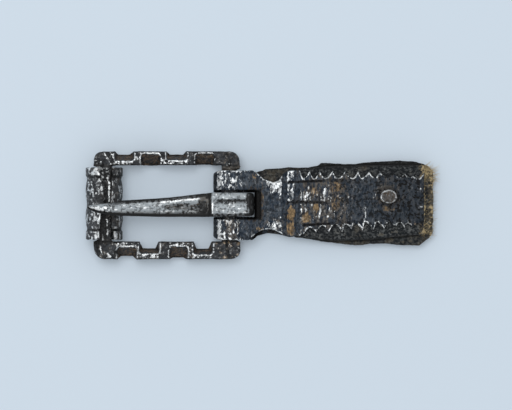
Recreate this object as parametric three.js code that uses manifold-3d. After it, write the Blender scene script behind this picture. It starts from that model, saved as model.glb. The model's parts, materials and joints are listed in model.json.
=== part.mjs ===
// A forged iron roller buckle with its folded plate and the torn end of a two-layer leather strap.
// Millimetres. +X runs from the roller to the strap's torn end, +Y across the strap, +Z up out of the leaf.
// Pieces are laid out from the hinge axis (X = 0) and the surface they lie on (Z = 0). At the end the
// group is moved so that its origin is the centre of its box, at the foot.

import * as THREE from "three";
import { mergeVertices } from "three/addons/utils/BufferGeometryUtils.js";
import Module from "manifold-3d";

const wasm = await Module();
wasm.setup();

// Clearance between pieces that turn on each other, and how far a cutting body runs past what it cuts
const gap = 0.3;
const overrun = 1;

// Hinge: the frame's inner bar, round which the plate is folded and the tongue is bent
const hingeBarRadius = 2.2;
const sheet = 1.1;
const foldOffset = 0.94;
const bendStart = 4;

// Plate: one sheet with a front and a back leaf, lengths from the hinge axis
const frontLeafLength = 54.4;
const backLeafSetback = 1.4;
const plateHalfWidth = 9.75;
const slotEndGap = 1.76;
const slotSideGap = 0.73;
const slotEndTaperLength = 1.5;
const slotEndTaperDepth = 0.72;
const backSlotLength = 7.4;
const backSlotSideGap = 0.32;
const crossGrooveWidth = 1.3;
const longGrooveWidth = 0.8;
const grooveDepth = 0.3;

// Edges of the leaves: shares of the leaf's length from the hinge axis, and of the plate's half width.
// The waist comes first, then the land with its two cross grooves, then the filed teeth.
const frontUpperEdgeShares = [
  [-0.1, 1], [0.116, 1], [0.132, 0.97], [0.153, 0.87], [0.171, 0.77], [0.198, 0.71], [0.224, 0.66],
  [0.253, 0.71], [0.268, 0.83], [0.284, 0.93], [0.297, 0.98], [0.332, 1], [0.363, 1],
  [0.381, 0.77], [0.412, 1], [0.435, 0.77], [0.463, 1], [0.492, 0.78], [0.531, 0.99], [0.555, 0.77],
  [0.594, 0.98], [0.634, 0.78], [0.661, 0.98], [0.681, 0.79], [0.719, 0.97], [0.747, 0.79], [0.773, 0.97],
  [0.811, 0.79], [0.842, 0.94], [0.874, 0.81], [0.903, 0.91], [0.926, 0.8], [0.946, 0.84], [0.97, 0.76],
  [1, 0.92],
];
const frontLowerEdgeShares = [
  [-0.1, -1], [0.1, -1], [0.139, -0.79], [0.171, -0.71], [0.203, -0.68], [0.229, -0.71], [0.253, -0.77],
  [0.284, -0.87], [0.306, -0.88], [0.363, -0.87],
  [0.383, -0.82], [0.414, -0.64], [0.445, -0.79], [0.479, -0.58], [0.511, -0.79], [0.542, -0.54],
  [0.58, -0.79], [0.597, -0.55], [0.628, -0.7], [0.647, -0.52], [0.685, -0.75], [0.697, -0.49],
  [0.742, -0.71], [0.759, -0.48], [0.797, -0.7], [0.82, -0.48], [0.854, -0.64], [0.875, -0.49],
  [0.901, -0.67], [0.916, -0.52], [0.939, -0.61], [0.97, -0.54], [1, -0.65],
];
const backUpperEdgeShares = [
  [-0.1, 1], [0.12, 1], [0.157, 0.87], [0.203, 0.71], [0.23, 0.66], [0.26, 0.71], [0.305, 0.95],
  [0.341, 1], [1, 0.93],
];
const backLowerEdgeShares = [
  [-0.1, -1], [0.119, -1], [0.148, -0.88], [0.203, -0.8], [0.262, -0.84], [0.317, -0.92],
  [0.373, -0.88], [1, -0.63],
];
// Grooves filed across the land, and along the leaf: where they start and end
const crossGrooveShares = [0.283, 0.347];
const longGrooveShares = [
  [0.363, 0.71, 0.645, 0.71],
  [0.301, 0.1, 0.696, 0.1],
  [0.363, -0.55, 0.645, -0.55],
];

// Strap: two layers of leather, from their cut end behind the tongue's loop to the torn end, which stands
// out of the plate. The first shares run along the strap from where the leaves close on it, the second
// are of its half width.
const leather = 1.6;
const strapOverhang = 3;
const strapStartGap = 0.24;
const strapHalfWidth = 12.7;
const upperLayerUpperEdgeShares = [
  [-0.035, 0.74], [0, 0.78], [0.014, 0.81], [0.094, 0.82], [0.135, 0.84], [0.284, 0.84], [0.392, 0.87],
  [0.683, 0.89], [0.857, 0.9], [0.956, 0.88],
];
const upperLayerLowerEdgeShares = [
  [-0.035, -0.42], [0, -0.44], [0.047, -0.47], [0.118, -0.57], [0.194, -0.72], [0.262, -0.75],
  [0.342, -0.78], [0.479, -0.79], [0.614, -0.77], [0.741, -0.72], [0.852, -0.68], [0.951, -0.66],
];
const lowerLayerUpperEdgeShares = [
  [-0.035, 0.7], [0, 0.73], [0.218, 0.8], [0.323, 0.89], [0.342, 0.94], [0.392, 0.94], [0.468, 0.92],
  [0.542, 0.92], [0.586, 0.95], [0.631, 0.96], [0.8, 1], [0.89, 0.97], [0.934, 0.93], [0.968, 0.88],
  [1, 0.74],
];
const lowerLayerLowerEdgeShares = [
  [-0.035, -0.4], [0, -0.42], [0.047, -0.45], [0.118, -0.55], [0.218, -0.71], [0.262, -0.75], [0.342, -0.81],
  [0.453, -0.86], [0.513, -0.89], [0.586, -0.89], [0.631, -0.86], [0.72, -0.86], [0.8, -0.89],
  [0.912, -0.9], [0.939, -0.83], [0.973, -0.74], [1, -0.62],
];

// Rivet: set by hand, so its head is wider along the strap than across it
const rivetEndDistance = 9.9;
const rivetOffset = 2.4;
const rivetShankRadius = 1.2;
const rivetHeadLength = 4.9;
const rivetHeadWidth = 4;
const rivetHeadHeight = 1.2;
const rivetTailRadius = 2.3;
const rivetTailHeight = 0.9;
// Profile of its head and tail: shares of their radius and height, measured from the leaf outwards
const rivetHeadShares = [[1, 0], [0.97, 0.5], [0.75, 0.85], [0.4, 1], [0, 1]];
const rivetTailShares = [[0, 1], [0.8, 1], [1, 0.5], [1, 0]];

// Frame: measured from the hinge axis towards the roller, seen flat
const rollerReach = 35.1;
const frameEnd = 2.98;
const frameHeel = 2.94;
const frameSideGap = 0.4;
const frameThickness = 4.6;
const upperBarWidth = 3.9;
const lowerBarWidth = 4.95;
const outerBarWidth = 4.1;
const frameEdgeRound = 0.35;
const windowRound = 0.8;
const cornerRounds = [
  { along: 2.8, across: 3.4 },
  { along: 3.4, across: 4.4 },
  { along: 3.1, across: 2.7 },
  { along: 3.1, across: 4.4 },
];
const fluteWidth = 1.4;
const fluteDepth = 0.35;

// Filed notches of the two long bars. The first two numbers pick the bar (1 upper, -1 lower) and its edge
// (1 outer, -1 the window's). Then start and end as shares of the frame's length from the roller's end, and
// the notch's depth on the face and at the back as shares of the bar's width.
const notchShares = [
  [1, 1, 0.14, 0.276, 0.71, 0.24],
  [1, -1, 0.322, 0.454, 0.81, 0],
  [1, 1, 0.495, 0.638, 0.65, 0.24],
  [1, -1, 0.693, 0.822, 0.84, 0.05],
  [-1, 1, 0.16, 0.294, 0.69, 0.18],
  [-1, -1, 0.309, 0.449, 0.68, 0.4],
  [-1, 1, 0.515, 0.642, 0.73, 0.09],
  [-1, -1, 0.678, 0.813, 0.73, 0.42],
];

// Flutes at the frame's corners: two ends each, as shares of the frame's length and of its half width
const fluteShares = [
  [-0.02, 0.8, 0.06, 0.74],
  [0.08, 1.04, 0.13, 0.8],
  [0.02, -0.6, 0.04, -0.98],
  [0.19, -0.72, 0.12, -1.04],
  [0.9, 1.04, 0.93, 0.72],
  [0.91, -0.66, 0.92, -1.04],
];

// Roller: a sleeve of sheet with an open seam
const rollerSheet = 1.05;
const rollerPlay = 1.12;
const rollerUpperGap = 0.6;
const rollerLowerGap = 0.45;
const rollerArcSteps = 26;
// Along the roller, its radius, and the seam's left and right edges: shares of length and of the radius
const rollerShares = [
  [0, 0.975, -0.225, 0.456],
  [0.015, 1, -0.225, 0.456],
  [0.115, 1, -0.23, 0.456],
  [0.14, 0.93, -0.26, 0.46],
  [0.17, 0.925, -0.22, 0.46],
  [0.216, 0.965, -0.09, 0.45],
  [0.3, 1, -0.06, 0.43],
  [0.4, 0.99, -0.01, 0.38],
  [0.46, 0.945, 0, 0.37],
  [0.5, 0.93, -0.02, 0.38],
  [0.54, 0.945, -0.06, 0.39],
  [0.62, 0.995, -0.14, 0.41],
  [0.725, 1, -0.21, 0.43],
  [0.8, 0.95, -0.26, 0.46],
  [0.835, 0.915, -0.28, 0.5],
  [0.865, 0.93, -0.28, 0.52],
  [0.885, 0.985, -0.28, 0.54],
  [0.985, 0.985, -0.28, 0.6],
  [1, 0.96, -0.28, 0.61],
];

// Tongue: a pin whose root is drawn out thin and bent round the hinge bar
const tipOverhang = 4.8;
const tongueLoopReach = 6.94;
const tongueHalfWidth = 3.35;
const tongueOffset = 0.16;
const pinRootThickness = 2;
const pinRollerThickness = 2.2;
const pinTipThickness = 1;
const pinTipDroop = 0.6;
const loopStrip = 0.8;
const loopShoulder = 2.1;
const loopEndGap = 0.6;
const collarReach = 5.6;
const collarGrooveWidth = 0.7;
const collarGrooveDepth = 0.35;
const hollowWidth = 3;
const hollowDepth = 0.45;
// Outline of the tongue seen from above: shares of its length from the tip, and of its half width
const tongueUpperShares = [
  [0, -0.05], [0.029, 0], [0.08, 0.04], [0.147, 0.08], [0.208, 0.32], [0.436, 0.47], [0.559, 0.64],
  [0.681, 0.88], [0.741, 1], [1.02, 1],
];
const tongueLowerShares = [
  [0, -0.19], [0.034, -0.47], [0.089, -0.72], [0.141, -0.85], [0.208, -0.9], [0.436, -0.98], [0.801, -1],
  [1.02, -0.96],
];
const hollowShares = [0.45, 0.7];
const loopGrooveShares = [0.8, 0.96];
const loopGrooveOutShare = 0.35;

// Sizes that follow from the ones above
const backLeafLength = frontLeafLength - backLeafSetback;
const slotLength = tongueLoopReach + slotEndGap;
const bendEnd = slotLength + gap;
const strapStart = bendEnd + strapStartGap;
const strapLength = frontLeafLength + strapOverhang;
const rivetReach = frontLeafLength - rivetEndDistance;
const frameHalfWidth = plateHalfWidth + frameSideGap + lowerBarWidth;
const rollerRadius = Math.hypot(outerBarWidth / 2, frameThickness / 2) + rollerPlay + rollerSheet;
const rollerStart = frameHalfWidth - upperBarWidth - rollerUpperGap;
const rollerEnd = lowerBarWidth - frameHalfWidth + rollerLowerGap;
const tongueTipReach = rollerReach + tipOverhang;
const foldBore = hingeBarRadius + gap;
const foldRadius = foldBore + sheet;
const hingeHeight = foldRadius;
const frontLeafTop = hingeHeight + leather + sheet;
const backLeafFoot = hingeHeight - leather - sheet;
const slotHalfWidth = tongueHalfWidth + slotSideGap;
const frameTilt = Math.asin((rollerRadius - hingeHeight) / rollerReach);
const frameLength = frameEnd + rollerReach + frameHeel;

// Counts of facets
const foldSteps = 14;
const bendSteps = 6;
const cornerSteps = 5;
const roundSteps = 28;

// Solids from meshes and back

function solidOf(geometry) {
  const bare = geometry.clone();
  bare.deleteAttribute("normal");
  bare.deleteAttribute("uv");
  const merged = mergeVertices(bare);
  return new wasm.Manifold(
    new wasm.Mesh({
      numProp: 3,
      vertProperties: merged.attributes.position.array,
      triVerts: new Uint32Array(merged.index.array),
    }),
  );
}

function geometryOf(solid) {
  const mesh = solid.getMesh();
  const geometry = new THREE.BufferGeometry();
  geometry.setAttribute("position", new THREE.BufferAttribute(mesh.vertProperties, 3));
  geometry.setIndex(new THREE.BufferAttribute(mesh.triVerts, 1));
  const loose = geometry.toNonIndexed();
  loose.computeVertexNormals();
  return loose;
}

function cutAway(solid, cutters) {
  return cutters.reduce((left, cutter) => left.subtract(cutter), solid);
}

// Prisms along each axis, from outlines in the other two

function shapeOf(points) {
  return new THREE.Shape(points.map(([a, b]) => new THREE.Vector2(a, b)));
}

function prismAlongZ(shape, from, to) {
  const geometry = new THREE.ExtrudeGeometry(shape, { depth: to - from, bevelEnabled: false });
  return geometry.translate(0, 0, from);
}

// The shape's own X and Y become X and Z
function prismAlongY(shape, from, to, steps = foldSteps) {
  const geometry = new THREE.ExtrudeGeometry(shape, {
    depth: to - from,
    bevelEnabled: false,
    curveSegments: steps,
  });
  return geometry.rotateX(Math.PI / 2).translate(0, to, 0);
}

// The shape's own X and Y become Y and Z
function prismAlongX(shape, from, to) {
  const turn = new THREE.Matrix4().makeBasis(
    new THREE.Vector3(0, 1, 0),
    new THREE.Vector3(0, 0, 1),
    new THREE.Vector3(1, 0, 0),
  );
  const geometry = new THREE.ExtrudeGeometry(shape, { depth: to - from, bevelEnabled: false });
  return geometry.applyMatrix4(turn).translate(from, 0, 0);
}

// A V groove filed into a face at a height, from one point of the face to another
function vGroove([fromX, fromY], [toX, toY], height, width, depth) {
  const widening = (depth + overrun) / depth;
  const half = (width / 2) * widening;
  const section = shapeOf([[-half, overrun], [0, -depth], [half, overrun]]);
  const length = Math.hypot(toX - fromX, toY - fromY);
  return prismAlongX(section, 0, length)
    .rotateZ(Math.atan2(toY - fromY, toX - fromX))
    .translate(fromX, fromY, height);
}

// A closed body through rings of as many points each, ends closed with the rings' own triangles
function loft(rings) {
  const count = rings[0].length;
  const positions = rings.flat().flatMap((p) => [p.x, p.y, p.z]);
  const index = [];
  for (let ring = 0; ring + 1 < rings.length; ring++) {
    for (let i = 0; i < count; i++) {
      const a = ring * count + i;
      const b = ring * count + ((i + 1) % count);
      index.push(a, b, a + count, b, b + count, a + count);
    }
  }
  const outline = rings[0].map((p) => new THREE.Vector2(p.x, p.z));
  const last = (rings.length - 1) * count;
  for (const [a, b, c] of THREE.ShapeUtils.triangulateShape(outline, [])) {
    index.push(a, b, c, last + c, last + b, last + a);
  }
  const geometry = new THREE.BufferGeometry();
  geometry.setAttribute("position", new THREE.Float32BufferAttribute(positions, 3));
  geometry.setIndex(index);
  return geometry;
}

// Two edges given as shares, joined into one outline
function leafOutline(upper, lower, start, end, halfWidth) {
  const place = ([along, out]) => [start + along * (end - start), out * halfWidth];
  return shapeOf([...lower.map(place), ...upper.map(place).reverse()]);
}

function roundBar(radius, from, to) {
  const geometry = new THREE.CylinderGeometry(radius, radius, to - from, roundSteps);
  return geometry.translate(0, (from + to) / 2, 0);
}

// Frame, laid out flat with the hinge axis through its origin

function frameBlank() {
  const left = -rollerReach - frameEnd;
  const right = frameHeel;
  const top = frameHalfWidth;
  const foot = -frameHalfWidth;
  const [leftTop, leftFoot, rightFoot, rightTop] = cornerRounds;
  const outline = new THREE.Shape();
  outline.moveTo(left, top - leftTop.across);
  outline.lineTo(left, foot + leftFoot.across);
  outline.quadraticCurveTo(left, foot, left + leftFoot.along, foot);
  outline.lineTo(right - rightFoot.along, foot);
  outline.quadraticCurveTo(right, foot, right, foot + rightFoot.across);
  outline.lineTo(right, top - rightTop.across);
  outline.quadraticCurveTo(right, top, right - rightTop.along, top);
  outline.lineTo(left + leftTop.along, top);
  outline.quadraticCurveTo(left, top, left, top - leftTop.across);

  const near = -rollerReach + outerBarWidth / 2;
  const far = -hingeBarRadius;
  const high = top - upperBarWidth;
  const low = foot + lowerBarWidth;
  const window = new THREE.Path();
  window.moveTo(near, high - windowRound);
  window.quadraticCurveTo(near, high, near + windowRound, high);
  window.lineTo(far - windowRound, high);
  window.quadraticCurveTo(far, high, far, high - windowRound);
  window.lineTo(far, low + windowRound);
  window.quadraticCurveTo(far, low, far - windowRound, low);
  window.lineTo(near + windowRound, low);
  window.quadraticCurveTo(near, low, near, low + windowRound);
  outline.holes.push(window);

  const geometry = new THREE.ExtrudeGeometry(outline, {
    depth: frameThickness - 2 * frameEdgeRound,
    bevelThickness: frameEdgeRound,
    bevelSize: frameEdgeRound,
    bevelOffset: -frameEdgeRound,
    bevelSegments: 1,
    curveSegments: cornerSteps,
  });
  return geometry.translate(0, 0, frameEdgeRound - frameThickness / 2);
}

function filedNotch([bar, edge, start, end, faceShare, backShare]) {
  const width = bar > 0 ? upperBarWidth : lowerBarWidth;
  const outerEdge = bar * frameHalfWidth;
  const from = edge > 0 ? outerEdge : outerEdge - bar * width;
  const inward = -bar * edge;
  const half = frameThickness / 2;
  const slope = ((faceShare - backShare) * width) / frameThickness;
  const face = from + inward * (faceShare * width + slope * overrun);
  const back = from + inward * (backShare * width - slope * overrun);
  const clear = from - inward * (overrun + slope * overrun);
  const section = shapeOf([
    [face, half + overrun],
    [back, -half - overrun],
    [clear, -half - overrun],
    [clear, half + overrun],
  ]);
  const far = -rollerReach - frameEnd;
  return solidOf(prismAlongX(section, far + start * frameLength, far + end * frameLength));
}

function cornerFlute([fromAlong, fromOut, toAlong, toOut]) {
  const place = (along, out) => [along * frameLength - rollerReach - frameEnd, out * frameHalfWidth];
  return solidOf(
    vGroove(place(fromAlong, fromOut), place(toAlong, toOut), frameThickness / 2, fluteWidth, fluteDepth),
  );
}

function makeFrame() {
  const high = frameHalfWidth - upperBarWidth;
  const low = lowerBarWidth - frameHalfWidth;
  const half = frameThickness / 2 + overrun;
  const hingeSpace = prismAlongZ(
    shapeOf([
      [-hingeBarRadius - overrun, low],
      [frameHeel + overrun, low],
      [frameHeel + overrun, high],
      [-hingeBarRadius - overrun, high],
    ]),
    -half,
    half,
  );
  const outerBarFace = -rollerReach - outerBarWidth / 2;
  const rollerSpace = prismAlongZ(
    shapeOf([
      [outerBarFace - frameEnd, rollerEnd - gap],
      [outerBarFace, rollerEnd - gap],
      [outerBarFace, rollerStart + gap],
      [outerBarFace - frameEnd, rollerStart + gap],
    ]),
    -half,
    half,
  );
  const cutters = [
    solidOf(hingeSpace),
    solidOf(rollerSpace),
    ...notchShares.map(filedNotch),
    ...fluteShares.map(cornerFlute),
  ];
  const hingeBar = roundBar(hingeBarRadius, low - overrun, high + overrun);
  return cutAway(solidOf(frameBlank()), cutters).add(solidOf(hingeBar));
}

// Roller, laid out round its own axis along Y

function rollerRing([along, radiusShare, leftShare, rightShare]) {
  const radius = radiusShare * rollerRadius;
  const y = rollerStart + along * (rollerEnd - rollerStart);
  const start = Math.asin(rightShare);
  const sweep = 2 * Math.PI + Math.asin(leftShare) - start;
  const arc = (r) =>
    Array.from({ length: rollerArcSteps + 1 }, (_, i) => {
      const turn = start + (sweep * i) / rollerArcSteps;
      return new THREE.Vector3(r * Math.sin(turn), y, r * Math.cos(turn));
    });
  return [...arc(radius), ...arc(radius - rollerSheet).reverse()];
}

function makeRoller() {
  return solidOf(loft(rollerShares.map(rollerRing).reverse()));
}

// Tongue, laid out in the flat frame's axes: the hinge axis is its origin

// The pin's lower side is the straight line from the loop that just clears the roller
function pinRise() {
  return Math.asin((rollerRadius + gap - foldBore) / rollerReach);
}

function pinFootAt(x) {
  return foldBore / Math.cos(pinRise()) - x * Math.tan(pinRise());
}

function tongueProfile() {
  const tip = -tongueTipReach;
  const root = -foldBore;
  const far = tongueLoopReach;
  const inner = far - loopStrip;
  const shoulder = far - loopShoulder;
  const top = foldBore + pinRootThickness;
  const foot = -foldBore - loopStrip;
  const rollerFoot = pinFootAt(-rollerReach);
  const stripEnd = foldBore - loopEndGap;
  const profile = new THREE.Shape();
  profile.moveTo(tip, rollerFoot - pinTipDroop);
  profile.lineTo(-rollerReach, rollerFoot);
  profile.lineTo(root, pinFootAt(root));
  profile.lineTo(0, foldBore);
  profile.lineTo(shoulder, foldBore);
  profile.quadraticCurveTo(inner, foldBore, inner, 0);
  profile.quadraticCurveTo(inner, -foldBore, shoulder, -foldBore);
  profile.lineTo(0, -foldBore);
  profile.absarc(0, 0, foldBore, -Math.PI / 2, -Math.PI, true);
  profile.lineTo(root, stripEnd);
  profile.lineTo(root - loopStrip, stripEnd);
  profile.lineTo(root - loopStrip, 0);
  profile.absarc(0, 0, foldBore + loopStrip, Math.PI, (3 * Math.PI) / 2, false);
  profile.lineTo(shoulder, foot);
  profile.quadraticCurveTo(far, foot, far, 0);
  profile.quadraticCurveTo(far, top, shoulder, top);
  profile.lineTo(root, top);
  profile.lineTo(-rollerReach, rollerFoot + pinRollerThickness);
  profile.lineTo(tip, rollerFoot - pinTipDroop + pinTipThickness);
  return profile;
}

function makeTongue() {
  const length = tongueTipReach + tongueLoopReach;
  const placeX = (along) => along * length - tongueTipReach;
  const place = ([along, out]) => [placeX(along), tongueOffset + out * tongueHalfWidth];
  const outline = shapeOf([...tongueLowerShares.map(place), ...tongueUpperShares.map(place).reverse()]);
  const across = tongueHalfWidth + overrun;
  const reach = rollerRadius + pinRollerThickness + overrun;
  const blank = prismAlongY(tongueProfile(), tongueOffset - across, tongueOffset + across, bendSteps);
  const plan = prismAlongZ(outline, -reach, reach);

  const rootTop = foldBore + pinRootThickness;
  const collar = vGroove(
    [-collarReach, tongueOffset - across],
    [-collarReach, tongueOffset + across],
    rootTop,
    collarGrooveWidth,
    collarGrooveDepth,
  );
  const grooveY = tongueOffset + tongueHalfWidth * loopGrooveOutShare;
  const [loopStart, loopFinish] = loopGrooveShares;
  const loopGroove = vGroove(
    [placeX(loopStart), grooveY],
    [placeX(loopFinish), grooveY],
    rootTop,
    collarGrooveWidth,
    collarGrooveDepth,
  );
  // The hollow is filed into the pin's sloping upper side, behind the collar
  const pinTopRise = Math.atan2(
    pinFootAt(-rollerReach) + pinRollerThickness - rootTop,
    rollerReach - foldBore,
  );
  const [hollowStart, hollowFinish] = hollowShares;
  const hollow = vGroove(
    [placeX(hollowStart) + foldBore, tongueOffset],
    [placeX(hollowFinish) + foldBore, tongueOffset],
    0,
    hollowWidth,
    hollowDepth,
  )
    .rotateY(pinTopRise)
    .translate(-foldBore, 0, rootTop);
  return cutAway(solidOf(blank).intersect(solidOf(plan)), [collar, loopGroove, hollow].map(solidOf));
}

// Plate: the hairpin of sheet seen from the side, cut to the outline of each leaf

function hairpinProfile(length) {
  const centre = hingeHeight;
  const spread = leather;
  const middle = (bendStart + bendEnd) / 2;
  const profile = new THREE.Shape();
  const outer = spread + sheet;
  profile.moveTo(length, centre + outer);
  profile.lineTo(bendEnd, centre + outer);
  profile.bezierCurveTo(middle, centre + outer, middle, centre + foldRadius, bendStart, centre + foldRadius);
  profile.lineTo(-foldOffset, centre + foldRadius);
  profile.absarc(-foldOffset, centre, foldRadius, Math.PI / 2, (3 * Math.PI) / 2, false);
  profile.lineTo(bendStart, centre - foldRadius);
  profile.bezierCurveTo(middle, centre - foldRadius, middle, centre - outer, bendEnd, centre - outer);
  profile.lineTo(length, centre - outer);
  profile.lineTo(length, centre - spread);
  profile.lineTo(bendEnd, centre - spread);
  profile.bezierCurveTo(middle, centre - spread, middle, centre - foldBore, bendStart, centre - foldBore);
  profile.lineTo(-foldOffset, centre - foldBore);
  profile.absarc(-foldOffset, centre, foldBore, (3 * Math.PI) / 2, Math.PI / 2, true);
  profile.lineTo(bendStart, centre + foldBore);
  profile.bezierCurveTo(middle, centre + foldBore, middle, centre + spread, bendEnd, centre + spread);
  profile.lineTo(length, centre + spread);
  return profile;
}

function makePlate() {
  const longest = Math.max(frontLeafLength, backLeafLength) + overrun;
  const width = plateHalfWidth + overrun;
  const hairpin = solidOf(prismAlongY(hairpinProfile(longest), -width, width));
  const front = leafOutline(frontUpperEdgeShares, frontLowerEdgeShares, 0, frontLeafLength, plateHalfWidth);
  const back = leafOutline(backUpperEdgeShares, backLowerEdgeShares, 0, backLeafLength, plateHalfWidth);
  const frontCut = solidOf(prismAlongZ(front, hingeHeight, hingeHeight + foldRadius + overrun));
  const backCut = solidOf(prismAlongZ(back, hingeHeight - foldRadius - overrun, hingeHeight));
  const folded = hairpin.intersect(frontCut).add(hairpin.intersect(backCut));

  const slotStart = -foldOffset - foldRadius - overrun;
  const taperStart = slotLength - slotEndTaperLength;
  const endHalfWidth = slotHalfWidth - slotEndTaperDepth;
  const frontSlot = prismAlongZ(
    shapeOf([
      [slotStart, tongueOffset - slotHalfWidth],
      [taperStart, tongueOffset - slotHalfWidth],
      [slotLength, tongueOffset - endHalfWidth],
      [slotLength, tongueOffset + endHalfWidth],
      [taperStart, tongueOffset + slotHalfWidth],
      [slotStart, tongueOffset + slotHalfWidth],
    ]),
    hingeHeight,
    hingeHeight + foldRadius + overrun,
  );
  const backHalfWidth = tongueHalfWidth + backSlotSideGap;
  const backSlot = prismAlongZ(
    shapeOf([
      [slotStart, tongueOffset - backHalfWidth],
      [backSlotLength, tongueOffset - backHalfWidth],
      [backSlotLength, tongueOffset + backHalfWidth],
      [slotStart, tongueOffset + backHalfWidth],
    ]),
    -overrun,
    hingeHeight,
  );
  const crossGrooves = crossGrooveShares.map((along) =>
    vGroove(
      [along * frontLeafLength, -width],
      [along * frontLeafLength, width],
      frontLeafTop,
      crossGrooveWidth,
      grooveDepth,
    ),
  );
  const longGrooves = longGrooveShares.map(([fromAlong, fromOut, toAlong, toOut]) =>
    vGroove(
      [fromAlong * frontLeafLength, fromOut * plateHalfWidth],
      [toAlong * frontLeafLength, toOut * plateHalfWidth],
      frontLeafTop,
      longGrooveWidth,
      grooveDepth,
    ),
  );
  const cuts = [frontSlot, backSlot, ...crossGrooves, ...longGrooves, rivetHole()];
  return cutAway(folded, cuts.map(solidOf));
}

// Strap layers and the rivet through them

function rivetHole() {
  const reach = hingeHeight + foldRadius + overrun;
  const radius = rivetShankRadius + gap;
  const hole = new THREE.CylinderGeometry(radius, radius, 2 * reach, roundSteps);
  return hole.rotateX(Math.PI / 2).translate(rivetReach, rivetOffset, 0);
}

function makeLayer(upper, lower, foot) {
  const outline = leafOutline(upper, lower, strapStart, strapLength, strapHalfWidth);
  return solidOf(prismAlongZ(outline, foot, foot + leather)).subtract(solidOf(rivetHole()));
}

// The shank and the tail are round; the head is drawn narrower across the strap
function makeRivet() {
  const headRadius = rivetHeadLength / 2;
  const tail = rivetTailShares.map(([out, down]) => [
    out * rivetTailRadius,
    backLeafFoot - down * rivetTailHeight,
  ]);
  const head = rivetHeadShares.map(([out, up]) => [out * headRadius, frontLeafTop + up * rivetHeadHeight]);
  const shank = [[rivetShankRadius, backLeafFoot], [rivetShankRadius, frontLeafTop]];
  const turned = (points) => {
    const profile = points.map(([out, height]) => new THREE.Vector2(out, height));
    return new THREE.LatheGeometry(profile, roundSteps).rotateX(Math.PI / 2);
  };
  const headFoot = [[0, frontLeafTop]];
  const shankBody = turned([...tail, ...shank, ...headFoot]);
  const headBody = turned([...headFoot, ...head]).scale(1, rivetHeadWidth / rivetHeadLength, 1);
  return geometryOf(solidOf(shankBody).add(solidOf(headBody))).translate(rivetReach, rivetOffset, 0);
}

// Finishes and assembly

const blackIron = { color: 0x45484a, roughness: 0.55, metalness: 0.7 };
const wornIron = { color: 0x8f959a, roughness: 0.4, metalness: 0.85 };
const rustIron = { color: 0x5d5f60, roughness: 0.6, metalness: 0.6 };
const oldLeather = { color: 0x34373a, roughness: 0.85, metalness: 0 };

function piece(name, geometry, finish) {
  const mesh = new THREE.Mesh(geometry, new THREE.MeshStandardMaterial(finish));
  mesh.name = name;
  return mesh;
}

const buckle = new THREE.Group();
buckle.add(
  piece("buckle_plate", geometryOf(makePlate()), blackIron),
  piece(
    "strap_upper_layer",
    geometryOf(makeLayer(upperLayerUpperEdgeShares, upperLayerLowerEdgeShares, hingeHeight)),
    oldLeather,
  ),
  piece(
    "strap_lower_layer",
    geometryOf(makeLayer(lowerLayerUpperEdgeShares, lowerLayerLowerEdgeShares, hingeHeight - leather)),
    oldLeather,
  ),
  piece("rivet", makeRivet(), rustIron),
);

// The frame leans up from the hinge so that its roller and the plate lie on the same surface
const swung = new THREE.Group();
swung.position.set(0, 0, hingeHeight);
swung.rotation.y = frameTilt;
const roller = piece("roller", geometryOf(makeRoller()), rustIron);
roller.position.x = -rollerReach;
swung.add(
  piece("frame", geometryOf(makeFrame()), blackIron),
  roller,
  piece("tongue", geometryOf(makeTongue()), wornIron),
);
buckle.add(swung);

const part = new THREE.Group();
part.add(buckle);
part.updateMatrixWorld(true);
const box = new THREE.Box3().setFromObject(part, true);
buckle.position.set(-(box.min.x + box.max.x) / 2, -(box.min.y + box.max.y) / 2, -box.min.z);

export default part;
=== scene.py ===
"""Looks of a forged iron roller buckle with its riveted plate and the torn end of a leather strap.

Every CAD node is replaced by a finer mesh in the same place. Shapes are numpy grids in millimetres, in the
layout's own axes: the hinge axis lies at X = 0 and the surface that the buckle lies on at Z = 0. The frame,
the roller and the tongue are laid out flat round the hinge axis, and then swung up by the frame's tilt.
"""

from __future__ import annotations

import json
import logging
import math
from dataclasses import dataclass, field
from enum import Enum

import bpy
import numpy as np
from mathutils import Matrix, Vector


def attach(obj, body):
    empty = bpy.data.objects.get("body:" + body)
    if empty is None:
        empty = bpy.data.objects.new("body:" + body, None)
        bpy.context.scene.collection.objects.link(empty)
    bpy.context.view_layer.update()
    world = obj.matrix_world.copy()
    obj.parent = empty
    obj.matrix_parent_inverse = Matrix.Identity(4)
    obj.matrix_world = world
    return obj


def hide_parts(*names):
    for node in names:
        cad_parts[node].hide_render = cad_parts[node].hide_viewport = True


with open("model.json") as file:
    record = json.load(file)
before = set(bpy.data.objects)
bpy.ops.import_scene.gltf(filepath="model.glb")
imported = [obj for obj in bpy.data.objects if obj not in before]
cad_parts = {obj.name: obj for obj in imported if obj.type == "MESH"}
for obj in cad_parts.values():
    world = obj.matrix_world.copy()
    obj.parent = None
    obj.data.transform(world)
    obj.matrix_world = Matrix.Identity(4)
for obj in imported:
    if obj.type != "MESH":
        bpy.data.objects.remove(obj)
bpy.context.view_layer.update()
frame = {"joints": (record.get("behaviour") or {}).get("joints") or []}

Array = np.ndarray
Pair = tuple[float, float]
Triple = tuple[float, float, float]
Line = tuple[float, float, float, float]
Table = tuple[tuple[float, ...], ...]

log = logging.getLogger("buckle")

MM = 0.001
FAR = 9.0
# Black towards which painted shade and the darkest pits are mixed.
SHADE_BLACK = (0.006, 0.006, 0.006)
joint_places = {joint["name"]: 1000 * np.array(joint["pos_m"]) for joint in frame["joints"]}
HINGE = joint_places["frame_hinge"]
ROLLER_AXIS = joint_places["roller_spin"]
ROLLER_REACH = float(np.hypot(HINGE[0] - ROLLER_AXIS[0], ROLLER_AXIS[2] - HINGE[2]))
TILT = math.atan2(ROLLER_AXIS[2] - HINGE[2], HINGE[0] - ROLLER_AXIS[0])
TILT_COS, TILT_SIN = math.cos(TILT), math.sin(TILT)


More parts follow.
